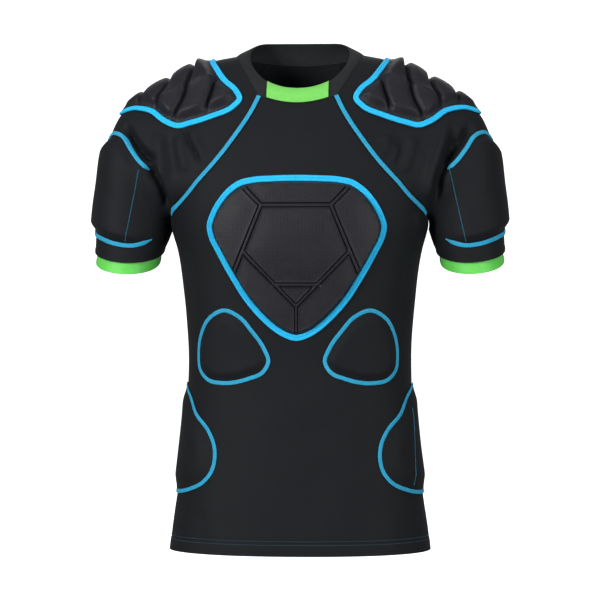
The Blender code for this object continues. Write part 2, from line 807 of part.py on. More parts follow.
def over_the_side(params):
    """A front line from the side seam and back, joined to its twin behind the seam."""
    twin = params[::-1].copy()
    twin[:, 0] = math.pi - twin[:, 0]
    return twin


def hip_outline(count):
    """Middle line of the hip tape, from the front round the side seam to the back."""
    front = torso_at(HIP_LINE)
    top = np.array(((0.5 * math.pi, HIP_TOP),))
    bottom = np.array(((0.5 * math.pi, HIP_BOTTOM),))
    params = np.concatenate((top, front, bottom, over_the_side(front)))
    return on_scale(TORSO_SURFACE, params, closed_curve, count)


def over_the_ridge(params):
    """The twin of a front sleeve line on the back half."""
    twin = params[::-1].copy()
    twin[:, 1] = 1.0 - twin[:, 1]
    return twin


def shoulder_outline(count):
    """Middle line of the shoulder edging, front and back."""
    front = sleeve_at(SHOULDER_LINE)
    neck = np.array(((SHOULDER_NECK_ROW, 0.5),))
    arm = np.array(((SHOULDER_ARM_ROW, 0.5),))
    params = np.concatenate((neck, front, arm, over_the_ridge(front)))
    return on_scale(SLEEVE_SURFACE, params, closed_curve, count)


def shoulder_grooves():
    """Quilting grooves of the shoulder pad, front and back."""
    lines = []
    for groove in SHOULDER_GROOVES:
        front = sleeve_at(groove)
        lines.append(front)
        lines.append(over_the_ridge(front))
    return lines


def arm_line(line, row, count):
    """An arm tape from the front, over the outside of the arm, to the back."""
    front = sleeve_at(line)
    ridge = np.array(((row, 0.5),))
    params = np.concatenate((front, ridge, over_the_ridge(front)))
    return on_scale(SLEEVE_SURFACE, params, open_curve, count)


def arm_lines(count):
    """Top and bottom tapes of the arm pad, both from front to back."""
    top = arm_line(ARM_TOP_LINE[::-1], ARM_TOP_ROW, count)
    bottom = arm_line(ARM_BOTTOM_LINE, ARM_BOTTOM_ROW, count)
    return top, bottom


def arm_pad_outline(count):
    """Outline of the arm pad between its two tapes."""
    top, bottom = arm_lines(count)
    gap = 0.5 * ARM_TAPE + EDGE_GAP
    down = np.zeros((count, 3))
    down[:, 2] = -1.0
    top_side = SLEEVE_SURFACE.sideways(top, False)
    top_side *= np.sign(np.sum(top_side * down, axis=1))[:, None]
    bottom_side = SLEEVE_SURFACE.sideways(bottom, False)
    bottom_side *= -np.sign(np.sum(bottom_side * down, axis=1))[:, None]
    upper = SLEEVE_SURFACE.moved(top, top_side * gap)
    lower = SLEEVE_SURFACE.moved(bottom, bottom_side * gap)
    back = upper[-1] + (lower[-1] - upper[-1]) * np.linspace(0.0, 1.0, 7)[1:-1, None]
    front = lower[0] + (upper[0] - lower[0]) * np.linspace(0.0, 1.0, 7)[1:-1, None]
    return np.concatenate((upper, back, lower[::-1], front))


def raglan_tape():
    """Tape along the front raglan seam, on the front panel right beside the seam."""
    seam = seam_points(np.linspace(*RAGLAN_TAPE_ROWS, RAGLAN_TAPE_POINTS), -1)
    line = np.stack((np.arctan2(seam[:, 0], -seam[:, 1]), seam[:, 2]), axis=1)
    side = TORSO_SURFACE.sideways(line, False)
    side *= -np.sign(side[:, :1])
    beside = TORSO_SURFACE.moved(line, side * (0.5 * RAGLAN_TAPE + EDGE_GAP))
    return tape_solid(TORSO_SURFACE, beside, RAGLAN_TAPE, TAPE_THICKNESS, False, PAD_LIFT)


def add_cloth(collection):
    """Front, back, sleeves, collar, collar tab and cuffs."""
    front = torso_panel(-1)
    back = torso_panel(1)
    sleeves = sleeve_panel()
    add_piece(collection, "front", *wall_from_grids(*front), BLACK_KNIT)
    add_piece(collection, "back", *wall_from_grids(*back), BLACK_KNIT)
    add_pair(collection, "sleeve", *wall_from_grids(*sleeves), BLACK_KNIT)
    collar_outer, collar_inner = collar_shape(front, back, sleeves)
    ring = ring_wall(whole_ring(collar_outer), whole_ring(collar_inner))
    add_piece(collection, "collar", *ring, COLLAR_KNIT)
    add_piece(collection, "collar_label", *label_wall(collar_outer, collar_inner), LABEL_GREEN)
    add_pair(collection, "cuff", *cuff_wall(), CUFF_GREEN)


def add_chest(collection):
    """Chest pad and its edging."""
    line = chest_outline(44)
    outline = TORSO_SURFACE.inset(line, 0.5 * CHEST_EDGING + EDGE_GAP)
    sizes = (CHEST_HEIGHT, 3.0, 7.0, 3.6, 5.0, 24.0)
    add_piece(collection, "chest_pad", *pad_solid(TORSO_SURFACE, outline, chest_grooves(), sizes), PAD_COVER)
    edging = tape_solid(TORSO_SURFACE, line, CHEST_EDGING, EDGING_THICKNESS, True)
    add_piece(collection, "chest_edging", *edging, EDGING_BLUE)


def add_ribs_and_hips(collection):
    """Rib and hip pads with the tapes round them."""
    sizes = (RIB_HEIGHT, 1.2, 8.0, 0.0, 1.0, 18.0)
    rib = on_scale(TORSO_SURFACE, torso_at(RIB_LINE), closed_curve, 28)
    hip = hip_outline(36)
    for name, line, width in (("rib", rib, RIB_TAPE), ("hip", hip, HIP_TAPE)):
        outline = TORSO_SURFACE.inset(line, 0.5 * width + EDGE_GAP)
        add_pair(collection, name + "_pad", *pad_solid(TORSO_SURFACE, outline, [], sizes), PAD_COVER)
        tape = tape_solid(TORSO_SURFACE, line, width, TAPE_THICKNESS, True)
        add_pair(collection, name + "_tape", *tape, SEAM_BLUE)


def add_shoulders_and_arms(collection):
    """Shoulder pads, arm pads and the edgings and tapes on the sleeves."""
    line = shoulder_outline(48)
    outline = SLEEVE_SURFACE.inset(line, 0.5 * SHOULDER_EDGING + EDGE_GAP)
    sizes = (SHOULDER_HEIGHT, 4.5, 11.0, 3.5, 13.0, 15.0)
    pad = pad_solid(SLEEVE_SURFACE, outline, shoulder_grooves(), sizes)
    add_pair(collection, "shoulder_pad", *pad, PAD_COVER)
    edging = tape_solid(SLEEVE_SURFACE, line, SHOULDER_EDGING, EDGING_THICKNESS, True)
    add_pair(collection, "shoulder_edging", *edging, EDGING_BLUE)
    arm_sizes = (ARM_HEIGHT, 1.2, 10.0, 0.0, 1.0, 19.0)
    arm_pad = pad_solid(SLEEVE_SURFACE, arm_pad_outline(17), [], arm_sizes)
    add_pair(collection, "arm_pad", *arm_pad, PAD_COVER)
    top, bottom = arm_lines(17)
    top_tape = tape_solid(SLEEVE_SURFACE, top, ARM_TAPE, TAPE_THICKNESS, False)
    bottom_tape = tape_solid(SLEEVE_SURFACE, bottom, ARM_TAPE, TAPE_THICKNESS, False)
    add_pair(collection, "arm_top_tape", *top_tape, SEAM_BLUE)
    add_pair(collection, "arm_bottom_tape", *bottom_tape, SEAM_BLUE)
    add_pair(collection, "raglan_tape", *raglan_tape(), SEAM_BLUE)


def main():
    """Clear the scene and build every piece of the garment."""
    for item in list(bpy.data.objects):
        bpy.data.objects.remove(item, do_unlink=True)
    collection = bpy.data.collections.new(COLLECTION_NAME)
    bpy.context.scene.collection.children.link(collection)
    add_cloth(collection)
    add_chest(collection)
    add_ribs_and_hips(collection)
    add_shoulders_and_arms(collection)


main()
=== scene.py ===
import math

import bmesh
import bpy
import numpy as np
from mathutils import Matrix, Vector
from mathutils.geometry import delaunay_2d_cdt


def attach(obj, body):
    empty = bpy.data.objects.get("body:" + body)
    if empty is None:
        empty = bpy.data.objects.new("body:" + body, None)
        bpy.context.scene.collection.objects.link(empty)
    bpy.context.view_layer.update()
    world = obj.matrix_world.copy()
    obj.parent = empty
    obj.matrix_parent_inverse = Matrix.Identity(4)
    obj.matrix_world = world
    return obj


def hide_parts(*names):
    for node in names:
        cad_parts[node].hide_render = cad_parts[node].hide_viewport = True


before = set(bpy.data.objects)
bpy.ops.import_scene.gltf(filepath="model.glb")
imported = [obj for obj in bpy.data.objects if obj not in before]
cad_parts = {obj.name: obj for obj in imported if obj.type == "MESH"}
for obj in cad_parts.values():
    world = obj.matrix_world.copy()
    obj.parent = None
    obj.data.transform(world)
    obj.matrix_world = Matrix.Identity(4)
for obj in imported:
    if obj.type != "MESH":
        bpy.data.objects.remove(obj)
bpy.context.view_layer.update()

# Looks of the short-sleeved padded rugby vest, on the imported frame. The front faces -Y and the wearer's
# left is +X. The garment's own sizes are in millimetres, and meshes, lights and camera are in metres.
METRES = 0.001
CLOTH = 2.0
SEAM_GAP = 0.3
LIFT = 1.0
PAD_LIFT = 1.5
EDGE_GAP = 0.4

# Least length to divide by, a distance beyond every point, and the two sides with the sign of their x
TINY = 1e-9
FAR = 1e6
SIDES = (("left", 1.0), ("right", -1.0))

# Torso sections: height, half width, front depth, back depth, squareness
TORSO = np.array((
    (-660.0, 176.5, 110.0, 112.0, 2.30),
    (-636.0, 174.0, 109.0, 111.0, 2.30),
    (-568.0, 164.5, 105.0, 106.0, 2.35),
    (-486.0, 154.5, 101.0, 98.0, 2.40),
    (-405.0, 151.5, 100.0, 95.0, 2.40),
    (-323.0, 156.5, 108.0, 102.0, 2.40),
    (-255.0, 166.0, 116.0, 110.0, 2.40),
    (-228.0, 173.8, 117.0, 113.0, 2.40),
    (-162.0, 179.0, 112.0, 114.0, 2.40),
    (-106.0, 172.0, 97.0, 109.0, 2.40),
    (-60.0, 152.0, 78.0, 98.0, 2.30),
    (-20.0, 125.0, 62.0, 84.0, 2.20),
    (12.0, 104.0, 54.0, 72.0, 2.20),
))
HEM_HEIGHT = -660.0
ARMPIT_HEIGHT = -228.0

# Raglan seams from the neck to the armpit: front angle round the torso and height, back angle and height
RAGLAN_SEAMS = np.array((
    (36.9, -50.4, 35.5, 6.0),
    (39.5, -77.5, 37.0, -35.0),
    (43.7, -106.0, 41.0, -75.0),
    (49.3, -135.0, 47.5, -115.0),
    (56.7, -162.0, 56.0, -152.0),
    (66.5, -190.0, 66.5, -188.0),
    (90.0, -228.0, 90.0, -228.0),
))

# Underarm seam on from the armpit: row, x, height
UNDERARM_SEAM = np.array((
    (6.0, 173.8, -228.0),
    (7.0, 179.0, -243.0),
    (8.0, 185.0, -257.0),
    (9.0, 188.5, -273.0),
))

# Sleeve sections, the same rows: ridge x, y and z, and the slope of the section plane towards the front
SLEEVE_RIDGE = np.array((
    (87.0, 8.0, 9.0, 0.00),
    (124.0, 6.0, 0.0, 0.00),
    (165.0, 4.0, -24.0, 0.00),
    (208.0, 1.0, -49.0, 0.00),
    (242.0, -2.0, -70.0, 0.00),
    (262.0, -4.0, -116.0, 0.00),
    (270.0, -5.0, -172.0, 0.00),
    (275.0, -7.0, -215.0, 0.20),
    (277.0, -8.0, -251.0, 0.30),
    (278.0, -8.0, -267.0, 0.30),
))

# Sleeve sections, the same rows: how far the cloth is drawn outwards from the front seam and the depth
# it is drawn to, the same for the back seam, and how far it runs level over the ridge
SLEEVE_FORM = np.array((
    (29.0, -54.0, 24.0, 57.0, 34.0),
    (42.0, -61.0, 36.0, 70.0, 42.0),
    (52.0, -65.0, 48.0, 83.0, 48.0),
    (60.0, -66.0, 57.0, 85.0, 52.0),
    (62.0, -68.0, 61.0, 80.0, 58.0),
    (56.0, -74.0, 56.0, 78.0, 68.0),
    (0.0, -81.0, 0.0, 81.0, 80.0),
    (0.0, -83.0, 0.0, 83.0, 82.0),
    (0.0, -83.0, 0.0, 83.0, 83.0),
    (0.0, -82.0, 0.0, 82.0, 82.0),
))
ARMPIT_ROW = 6
SLEEVE_HEM_ROW = 8.0
FRONT_NECK_DIP = 12.0
BACK_NECK_DIP = 3.0

# Surfaces: flat millimetres for one of each parameter, and the small steps that slopes are taken over
TORSO_SCALE = (130.0, 1.0)
TORSO_STEPS = (0.01, 1.0)
SLEEVE_SCALE = np.array((38.0, 270.0))
SLEEVE_STEPS = (0.02, 0.004)

# Collar rim from centre front to centre back: x, y, z
COLLAR_RIM = np.array((
    (0.0, -68.0, -42.5),
    (16.0, -67.0, -41.0),
    (42.0, -56.0, -31.0),
    (58.0, -37.0, -15.0),
    (67.0, -8.0, 5.0),
    (66.0, 18.0, 19.0),
    (57.0, 42.0, 29.0),
    (32.0, 61.0, 32.0),
    (0.0, 66.0, 32.5),
))
COLLAR_BULGE = 3.0
LABEL_HALF_WIDTH = 41.0
LABEL_THICKNESS = 1.0
LABEL_COLUMNS = 41

CUFF_WALL = 1.5

# Inner cuff sections: sleeve row, and how far inside the sleeve's outer face the cuff lies
CUFF_SECTIONS = np.array((
    (7.30, 4.0),
    (8.00, 3.6),
    (8.96, 1.2),
))

# Chest pad, outer line of its edging from top centre to bottom centre: x, z
CHEST_LINE = (
    (0.0, -160.3), (30.0, -160.9), (58.7, -162.9), (74.0, -166.5), (88.0, -175.7), (101.5, -190.5),
    (112.2, -209.0), (117.3, -226.4), (114.4, -241.4), (103.0, -264.7), (85.7, -296.0), (68.3, -323.8),
    (46.7, -348.9), (33.0, -361.5), (17.5, -371.7), (0.0, -376.9),
)
CHEST_EDGING = 7.8
CHEST_HEIGHT = 8.5

# Chest pad grooves, one line each: start x and z, end x and z; side ones are mirrored
CHEST_SIDE_GROOVES = (
    (66.0, -178.0, 45.0, -200.0),
    (45.0, -200.0, 79.0, -285.0),
    (66.6, -260.8, 0.0, -331.0),
)
CHEST_MIDDLE_GROOVES = (
    (-45.0, -200.0, 45.0, -200.0),
    (-29.0, -302.5, 29.0, -302.5),
    (0.0, -331.0, 0.0, -367.0),
)

# Rib pad, middle line of its tape, seen from the front: x, z
RIB_LINE = (
    (95.0, -337.0), (116.0, -347.5), (127.0, -367.0), (131.5, -394.0), (129.0, -417.0), (118.0, -429.5),
    (98.0, -433.2), (62.5, -426.8), (44.0, -418.0), (37.0, -404.5), (43.5, -386.0), (59.0, -364.0),
    (75.0, -346.0),
)
RIB_TAPE = 5.2
RIB_HEIGHT = 5.0

# Hip pad, middle line of its tape on the front half from the side seam down: x, z
HIP_LINE = (
    (145.0, -452.0), (135.5, -475.0), (118.5, -496.0), (110.0, -516.0), (109.0, -534.0), (114.0, -552.0),
    (127.0, -567.0), (145.0, -576.0),
)
HIP_TOP = -437.0
HIP_BOTTOM = -581.0
HIP_TAPE = 5.2
HIP_HEIGHT = 5.0

# Shoulder pad, middle line of its edging on the front half, from the neck end to the arm end: x, z
SHOULDER_LINE = (
    (112.0, -12.0), (97.6, -31.0), (82.0, -46.0), (77.0, -56.0), (85.0, -67.0), (113.0, -78.5),
    (143.0, -88.5), (162.0, -91.5), (177.0, -85.5), (196.0, -71.5), (218.0, -66.0), (238.0, -69.0),
)
SHOULDER_NECK_ROW = 0.88
SHOULDER_ARM_ROW = 3.98
SHOULDER_EDGING = 7.4
SHOULDER_HEIGHT = 12.5

# Shoulder pad grooves on the front half, each from the ridge down: x, z
SHOULDER_GROOVES = (
    ((107.0, -27.0), (114.0, -49.5), (121.0, -70.0)),
    ((140.0, -9.0), (143.0, -30.0), (152.0, -58.0), (164.0, -81.0)),
    ((171.0, -27.0), (177.0, -44.0), (188.0, -66.0)),
    ((205.0, -45.0), (212.0, -57.0), (219.0, -65.0)),
    ((106.0, -27.5), (140.0, -40.5), (172.0, -53.0), (189.0, -62.0)),
)

# Arm pad, middle line of its tapes on the front half: x, z along the top, then along the bottom
ARM_TOP_LINE = (
    (247.0, -99.0), (234.0, -106.0), (223.0, -122.6), (211.0, -138.0), (200.0, -150.0),
)
ARM_BOTTOM_LINE = (
    (197.0, -242.0), (206.0, -247.0), (221.0, -251.0), (241.0, -249.0), (262.0, -241.0),
)
ARM_TOP_ROW = 4.86
ARM_BOTTOM_ROW = 7.3
ARM_TAPE = 5.4
ARM_HEIGHT = 7.0

RAGLAN_TAPE = 5.6
RAGLAN_TAPE_ROWS = (0.06, 5.42)
RAGLAN_TAPE_POINTS = 120
TAPE_THICKNESS = 1.2
EDGING_THICKNESS = 2.6

# Tapes: share of the section at a tapered end, and the ribs across: share at their edges, power and steps
TAPE_END_SHARE = 0.35
TAPE_RIB_FLOOR = 0.70
TAPE_RIB_POWER = 0.7
TAPE_RIB_STEPS = 6

# Finer grids of the cloth
PANEL_COLUMNS = 96
LOWER_STEP = 4.0
RAGLAN_STEPS = 120
TUBE_STEPS = 36
SLEEVE_COLUMNS = 168
COLLAR_PARTS = np.concatenate((np.linspace(0.0, 0.9, 9), (0.93, 0.96, 0.98, 0.99, 1.0)))
CUFF_STEPS = 14
CUFF_COLUMNS = 120
UNDERSIDE_SPACING = 7.0
SEARCH_STEPS = (321, 121)
CURVE_POINTS = 600

# Points along the outlines and tapes
CHEST_POINTS = 260
RIB_POINTS = 130
HIP_POINTS = 170
SHOULDER_POINTS = 220
ARM_LINE_POINTS = 90
ARM_END_POINTS = 5
ARM_TAPE_POINTS = 110

# Flat triangles, in shares of their spacing: height of a row, and how far points keep from outline and runs
ROW_SHARE = 0.866
EDGE_CLEAR = 0.5
RUN_EDGE_CLEAR = 0.6
RUN_CLEAR = 0.45
MERGE_DISTANCE = 1e-4

# Folded rims of the collar and cuffs: where the rounding starts, its length, and how much of it is used
RIM_FROM = 0.9
RIM_LENGTH = 0.1
RIM_CUT = 0.96

# Folds of the sleeves on their front, seen from the front: side, width, depth, then x and z along the fold
SLEEVE_FOLDS = (
    ("left", 7.0, 3.6, ((119.0, -104.0), (118.0, -121.0), (113.0, -134.0))),
    ("left", 6.0, 3.2, ((134.0, -116.0), (130.0, -131.0), (124.0, -146.0))),
    ("left", 7.0, 4.2, ((155.0, -104.0), (149.0, -128.0), (139.0, -158.0))),
    ("left", 8.0, 10.0, ((200.0, -82.0), (189.0, -122.0), (176.0, -160.0), (169.0, -206.0))),
    ("left", 6.0, -12.0, ((211.0, -92.0), (201.0, -128.0), (189.0, -164.0), (182.0, -200.0))),
    ("left", 6.0, -11.0, ((234.0, -86.0), (221.0, -106.0), (207.0, -126.0), (194.0, -144.0))),
    ("left", 9.0, -3.2, ((143.0, -100.0), (139.0, -124.0), (131.0, -152.0))),
    ("right", 2.8, -4.6, ((155.0, -92.0), (144.0, -114.0), (127.0, -146.0))),
    ("right", 7.0, 2.8, ((142.0, -92.0), (134.0, -112.0), (122.0, -136.0))),
    ("right", 8.0, 3.0, ((160.0, -98.0), (156.0, -122.0), (147.0, -158.0))),
    ("right", 9.0, -3.4, ((172.0, -96.0), (170.0, -124.0), (162.0, -166.0))),
    ("right", 9.0, 3.4, ((186.0, -94.0), (183.0, -124.0), (176.0, -168.0))),
    ("right", 6.0, -15.0, ((236.0, -86.0), (223.0, -107.0), (208.0, -126.0), (188.0, -143.0))),
    ("right", 6.0, -14.0, ((203.0, -136.0), (190.0, -160.0), (180.0, -184.0), (174.0, -210.0))),
    ("right", 6.0, 4.0, ((190.0, -140.0), (179.0, -164.0), (170.0, -188.0), (165.0, -212.0))),
)

# Folds of the trunk: facing, width, depth, then x and z along the fold
TORSO_FOLDS = (
    ("front", 9.0, 3.0, ((161.0, -202.0), (161.0, -226.0), (159.0, -252.0))),
    ("front", 16.0, -2.4, ((150.0, -262.0), (142.0, -312.0), (140.0, -372.0))),
    ("front", 18.0, -2.0, ((-152.0, -250.0), (-146.0, -308.0), (-141.0, -362.0))),
    ("front", 22.0, -1.8, ((24.0, -452.0), (30.0, -540.0), (22.0, -640.0))),
    ("front", 24.0, 1.6, ((-34.0, -440.0), (-40.0, -534.0), (-30.0, -632.0))),
    ("front", 16.0, -1.5, ((86.0, -470.0), (88.0, -556.0), (96.0, -648.0))),
    ("front", 17.0, -1.4, ((-92.0, -490.0), (-98.0, -580.0), (-90.0, -652.0))),
    ("front", 12.0, -1.2, ((-126.0, -600.0), (-128.0, -630.0), (-122.0, -662.0))),
    ("front", 12.0, 1.2, ((128.0, -598.0), (124.0, -632.0), (132.0, -662.0))),
    ("back", 20.0, -3.0, ((150.0, -246.0), (112.0, -288.0), (62.0, -312.0))),
    ("back", 18.0, -2.6, ((-146.0, -252.0), (-104.0, -298.0), (-66.0, -318.0))),
    ("back", 22.0, -2.6, ((10.0, -130.0), (2.0, -250.0), (6.0, -372.0))),
    ("back", 16.0, 2.0, ((96.0, -330.0), (72.0, -388.0), (64.0, -452.0))),
    ("back", 17.0, 1.8, ((-88.0, -344.0), (-74.0, -402.0), (-60.0, -470.0))),
    ("back", 20.0, -2.4, ((-12.0, -404.0), (-22.0, -520.0), (-16.0, -640.0))),
    ("back", 19.0, -2.0, ((58.0, -470.0), (70.0, -560.0), (62.0, -650.0))),
    ("back", 14.0, -1.8, ((-104.0, -520.0), (-98.0, -588.0), (-108.0, -652.0))),
)
SLACK = 0.8

# Slack swell of the cloth: strength, then two waves with their rates along x, y and z and their phase
SLACK_WAVES = (
    (0.7, ((0.021, 0.0, 0.013), 0.7), ((0.0, 0.024, -0.017), 1.9)),
    (0.3, ((0.047, 0.0, -0.031), 2.3), ((0.0, 0.033, 0.052), 0.4)),
)

# Folds: points along one, the share that fades at each end, and the width and depth of its twin behind
FOLD_POINTS = 14
FOLD_ENDS = 0.25
BACK_FOLD_WIDTH = 1.3
BACK_FOLD_DEPTH = 0.7

# Double-line channels pressed into the chest pad
CHANNEL_HALF_WIDTH = 2.5
CHANNEL_WALL = 1.1
CHANNEL_DEPTH = 2.8
CHANNEL_BEAD = 2.5
CHANNEL_BEAD_TURN = 0.6
CHANNEL_BEAD_POWER = 4
CHANNEL_LIP = 0.5
CHANNEL_LIP_WIDTH = 1.2
CHEST_LIP_WIDTH = 1.4
CHEST_EDGE = 1.2
CHEST_RAMP = 4.2
CHEST_SWELL = 0.8
CHEST_SWELL_REACH = 22.0
GROOVE_STEP = 14.0
CHEST_SPACING = 1.5

# Quilting of the shoulder pad: narrow lines, the dip of the cells towards them, and soft ridges across
SHOULDER_EDGE = 2.4
SHOULDER_RAMP = 11.0
SHOULDER_SPACING = 1.8
SHOULDER_CROSSING_GROOVES = (1, 2, 3)
SHOULDER_SOFT_GROOVE = 4
QUILT_LINE_DEPTH = 6.0
QUILT_LINE_WIDTH = 2.5
QUILT_STEPS = (-3.0, -1.6, -1.0, -0.5, 0.0, 0.5, 1.0, 1.6, 3.0)
QUILT_POINTS = 50
QUILT_CLEAR = 1.6
QUILT_EDGE_SHARE = 0.3
QUILT_DIP_DEPTH = 4.2
QUILT_DIP_WIDTH = 5.0
QUILT_RIDGE = 4.4
QUILT_RIDGE_WIDTH = 7.0
SHOULDER_THIN_FROM = 3.0
SHOULDER_THIN_SHARE = 0.62
SHOULDER_LEAST = 0.8

PLAIN_PAD_EDGE = 0.6
PLAIN_PAD_SPACING = 3.0
PAD_CROWN = 0.8
RIB_RAMP = 12.0
HIP_RAMP = 22.0
ARM_PAD_LIFT = 0.4
ARM_PAD_EDGE = 0.2
ARM_PAD_RAMP = 11.0
ARM_END_RAMP = 46.0
ARM_TOP_TAPER = 7.0
ARM_BOTTOM_TAPER = 16.0

# Strips of cloth sewn in behind the side and raglan seams
SEAM_STRIP_WIDTH = 8.0
SEAM_STRIP_THICKNESS = 0.8
SEAM_STRIP_GAP = 0.5
SEAM_STRIP_ROWS = (0.1, 5.8)
SEAM_STRIP_CLEAR = (2.0, 6.0)
SEAM_STRIP_POINTS = 90

# Stitches: spacing along a line, share of it that shows, half width, height, and places where they turn
STITCH_PITCH = 3.0
STITCH_SHARE = 0.74
STITCH_HALF_WIDTH = 0.36
STITCH_HEIGHT = 0.45
STITCH_PLACES = (0.0, 0.22, 0.78, 1.0)
STITCH_LINE_POINTS = 60
HEM_STITCH_HEIGHTS = (-640.0, -645.0)
HEM_STITCH_REACH = 0.49
HEM_STITCH_POINTS = 400
HEM_STITCH_LIFT = 0.2
ARM_STITCH_ROUNDS = 5
ARM_STITCHES = {
    "left": ((200.6, -147.0), (223.5, -248.0)),
    "right": ((212.3, -150.0), (231.0, -249.0)),
}
HIP_STITCH = ((148.0, -468.0), (152.0, -572.0))
HIP_STITCH_POINTS = 12

# Camera that matches the photograph, and the light round it
CAMERA_TARGET = (0.0, 0.0, -0.3234)
CAMERA_DISTANCE = 3.0
CAMERA_TURN = math.radians(2.6)
FIELD_WIDTH = 0.8154
SENSOR_WIDTH = 36.0
FLOOR_HEIGHT = -0.80
ROOM_RADIUS = 6.0
ROOM_BEND = 1.6
ROOM_HEIGHT = 4.0
ROOM_RINGS = (0.01, 1.5, 3.0)
ROOM_BEND_STEPS = 17
ROOM_SIDES = 96
ROOM_COLOUR = (0.9, 0.9, 0.9, 1.0)
ROOM_ROUGHNESS = 0.95
WHITE = (1.0, 1.0, 1.0, 1.0)

# Lights: name, place, size, watts
LIGHTS = (
    ("key_light", (-1.9, -2.3, 0.4), 1.1, 84.0),
    ("fill_light", (2.1, -2.2, -0.1), 1.3, 50.0),
    ("top_light", (0.1, -0.6, 2.0), 1.2, 12.0),
    ("back_light", (0.0, 2.6, 1.0), 2.0, 16.0),
)
WORLD_STRENGTH = 0.22
ROOM_GLOW = 1.0

# Hems: rise of the doubled cloth and its ramp, dent of the stitches and its width, a sleeve's hem line
HEM_RISE = 0.6
HEM_RAMP = 3.0
HEM_DENT = 0.8
HEM_DENT_WIDTH = 1.6
SLEEVE_HEM = 7.0

# Thread sizes of the cloths
KNIT_WALE = 1.1
KNIT_COURSE = 1.3
WEAVE_PITCH = 1.5
CORD_PITCH = 5.0
CORD_SHARPNESS = 24.0
THREAD_SHARE = 0.6
CORD_SHARE = 0.4

# Knits and weaves: dark and light screen colours, roughness, sheen and gloss
KNITS = {
    "black_knit": ((13, 14, 17), (25, 27, 31), 0.64, 0.02, 0.14),
    "collar_knit": ((25, 27, 28), (42, 45, 46), 0.78, 0.02, 0.14),
    "green_cuff": ((70, 188, 58), (114, 222, 94), 0.42, 0.06, 0.5),
    "green_tab": ((98, 188, 78), (134, 214, 106), 0.66, 0.06, 0.14),
}
WEAVES = {"pad_cover": ((16, 16, 21), (32, 32, 39), 0.50, 0.02, 0.22)}

# Tapes and threads: dark and light screen colours, pitch and slope of their stitches
TAPES = {
    "bright_blue_edging": ((18, 160, 222), (44, 204, 250), 1.1, 0.0),
    "blue_seam_tape": ((24, 122, 164), (50, 176, 214), 1.9, 1.2),
    "hem_thread": ((34, 60, 74), (58, 94, 112), 1.9, 1.2),
}
TAPE_ROUGHNESS = 0.55
TAPE_SHEEN = 0.04
TAPE_GLOSS = 0.22
SHEEN_ROUGHNESS = 0.45

# Mottle of the cloths: scale, detail, share of it and the threads in the colour, and spread of the roughness
KNIT_MOTTLE = (140.0, 4.0, 0.5, 0.08)
WEAVE_MOTTLE = (90.0, 3.0, 0.55, 0.07)
TAPE_MOTTLE = (160.0, 3.0, 0.5, 0.10)

# Bump of the threads: depth and strength
KNIT_BUMP = (0.35, 0.7)
WEAVE_BUMP = (0.3, 0.6)

SHARP_ANGLE = math.radians(50.0)


def ease(share):
    """Soft rise from nought to one."""
    share = np.clip(share, 0.0, 1.0)
    return share * share * (3.0 - 2.0 * share)


def through(knots, values, at):
    """Smooth values between table rows, with slopes taken from the neighbouring rows."""
    knots = np.asarray(knots, dtype=float)
    values = np.asarray(values, dtype=float)
    slopes = np.gradient(values, knots, axis=0)
    at = np.clip(np.asarray(at, dtype=float), knots[0], knots[-1])
    low = np.clip(np.searchsorted(knots, at, side="right") - 1, 0, len(knots) - 2)
    step = (knots[low + 1] - knots[low])[:, None]
    part = (at[:, None] - knots[low][:, None]) / step
    square = part * part
    cube = square * part
    start = (2.0 * cube - 3.0 * square + 1.0) * values[low]
    start_slope = (cube - 2.0 * square + part) * step * slopes[low]
    end = (3.0 * square - 2.0 * cube) * values[low + 1]
    end_slope = (cube - square) * step * slopes[low + 1]
    return start + start_slope + end + end_slope


def unit(vectors):
    """Vectors scaled to length one."""
    lengths = np.linalg.norm(vectors, axis=-1, keepdims=True)
    return vectors / np.maximum(lengths, TINY)


def lengths_along(points):
    """Distance along a line of points at each of them."""
    steps = np.linalg.norm(np.diff(points, axis=0), axis=1)
    return np.concatenate(((0.0,), np.cumsum(steps)))


def interpolated(at, knots, values):
    """Rows of values at places between knots, straight from each row to the next."""
    return np.stack([np.interp(at, knots, column) for column in values.T], axis=1)


def on_grid(first, second):
    """Every pair from two rows of parameters, as a grid."""
    return np.stack(np.meshgrid(first, second, indexing="ij"), axis=2)


def torso_sizes(height):
    """Half width, front depth, back depth and squareness at each height."""
    return through(TORSO[:, 0], TORSO[:, 1:], height).T


def torso(params):
    """Torso points at (angle from the front, height)."""
    angle = params[:, 0]
    height = params[:, 1]
    width, front, back, square = torso_sizes(height)
    depth = np.where(np.cos(angle) >= 0.0, front, back)
    across = np.abs(np.sin(angle)) / width
    along = np.abs(np.cos(angle)) / depth
    radius = (across ** square + along ** square) ** (-1.0 / square)
    return np.stack((radius * np.sin(angle), -radius * np.cos(angle), height), axis=1)


def torso_depth(x, height, facing):
    """Depth of the torso at x, on its front (facing -1) or its back (facing 1)."""
    width, front, back, square = torso_sizes(height)
    depth = front if facing < 0 else back
    share = np.clip(np.abs(x) / width, 0.0, 1.0)
    return facing * depth * (1.0 - share ** square) ** (1.0 / square)


def torso_at(line):
    """Torso angle and height of points given as front-view x and z."""
    line = np.asarray(line, dtype=float)
    depth = torso_depth(line[:, 0], line[:, 1], -1)
    return np.stack((np.arctan2(line[:, 0], -depth), line[:, 1]), axis=1)


def bezier(points, part):
    """Points along a cubic with four control points."""
    rest = 1.0 - part
    first = rest ** 3 * points[0] + 3.0 * rest ** 2 * part * points[1]
    return first + 3.0 * rest * part ** 2 * points[2] + part ** 3 * points[3]


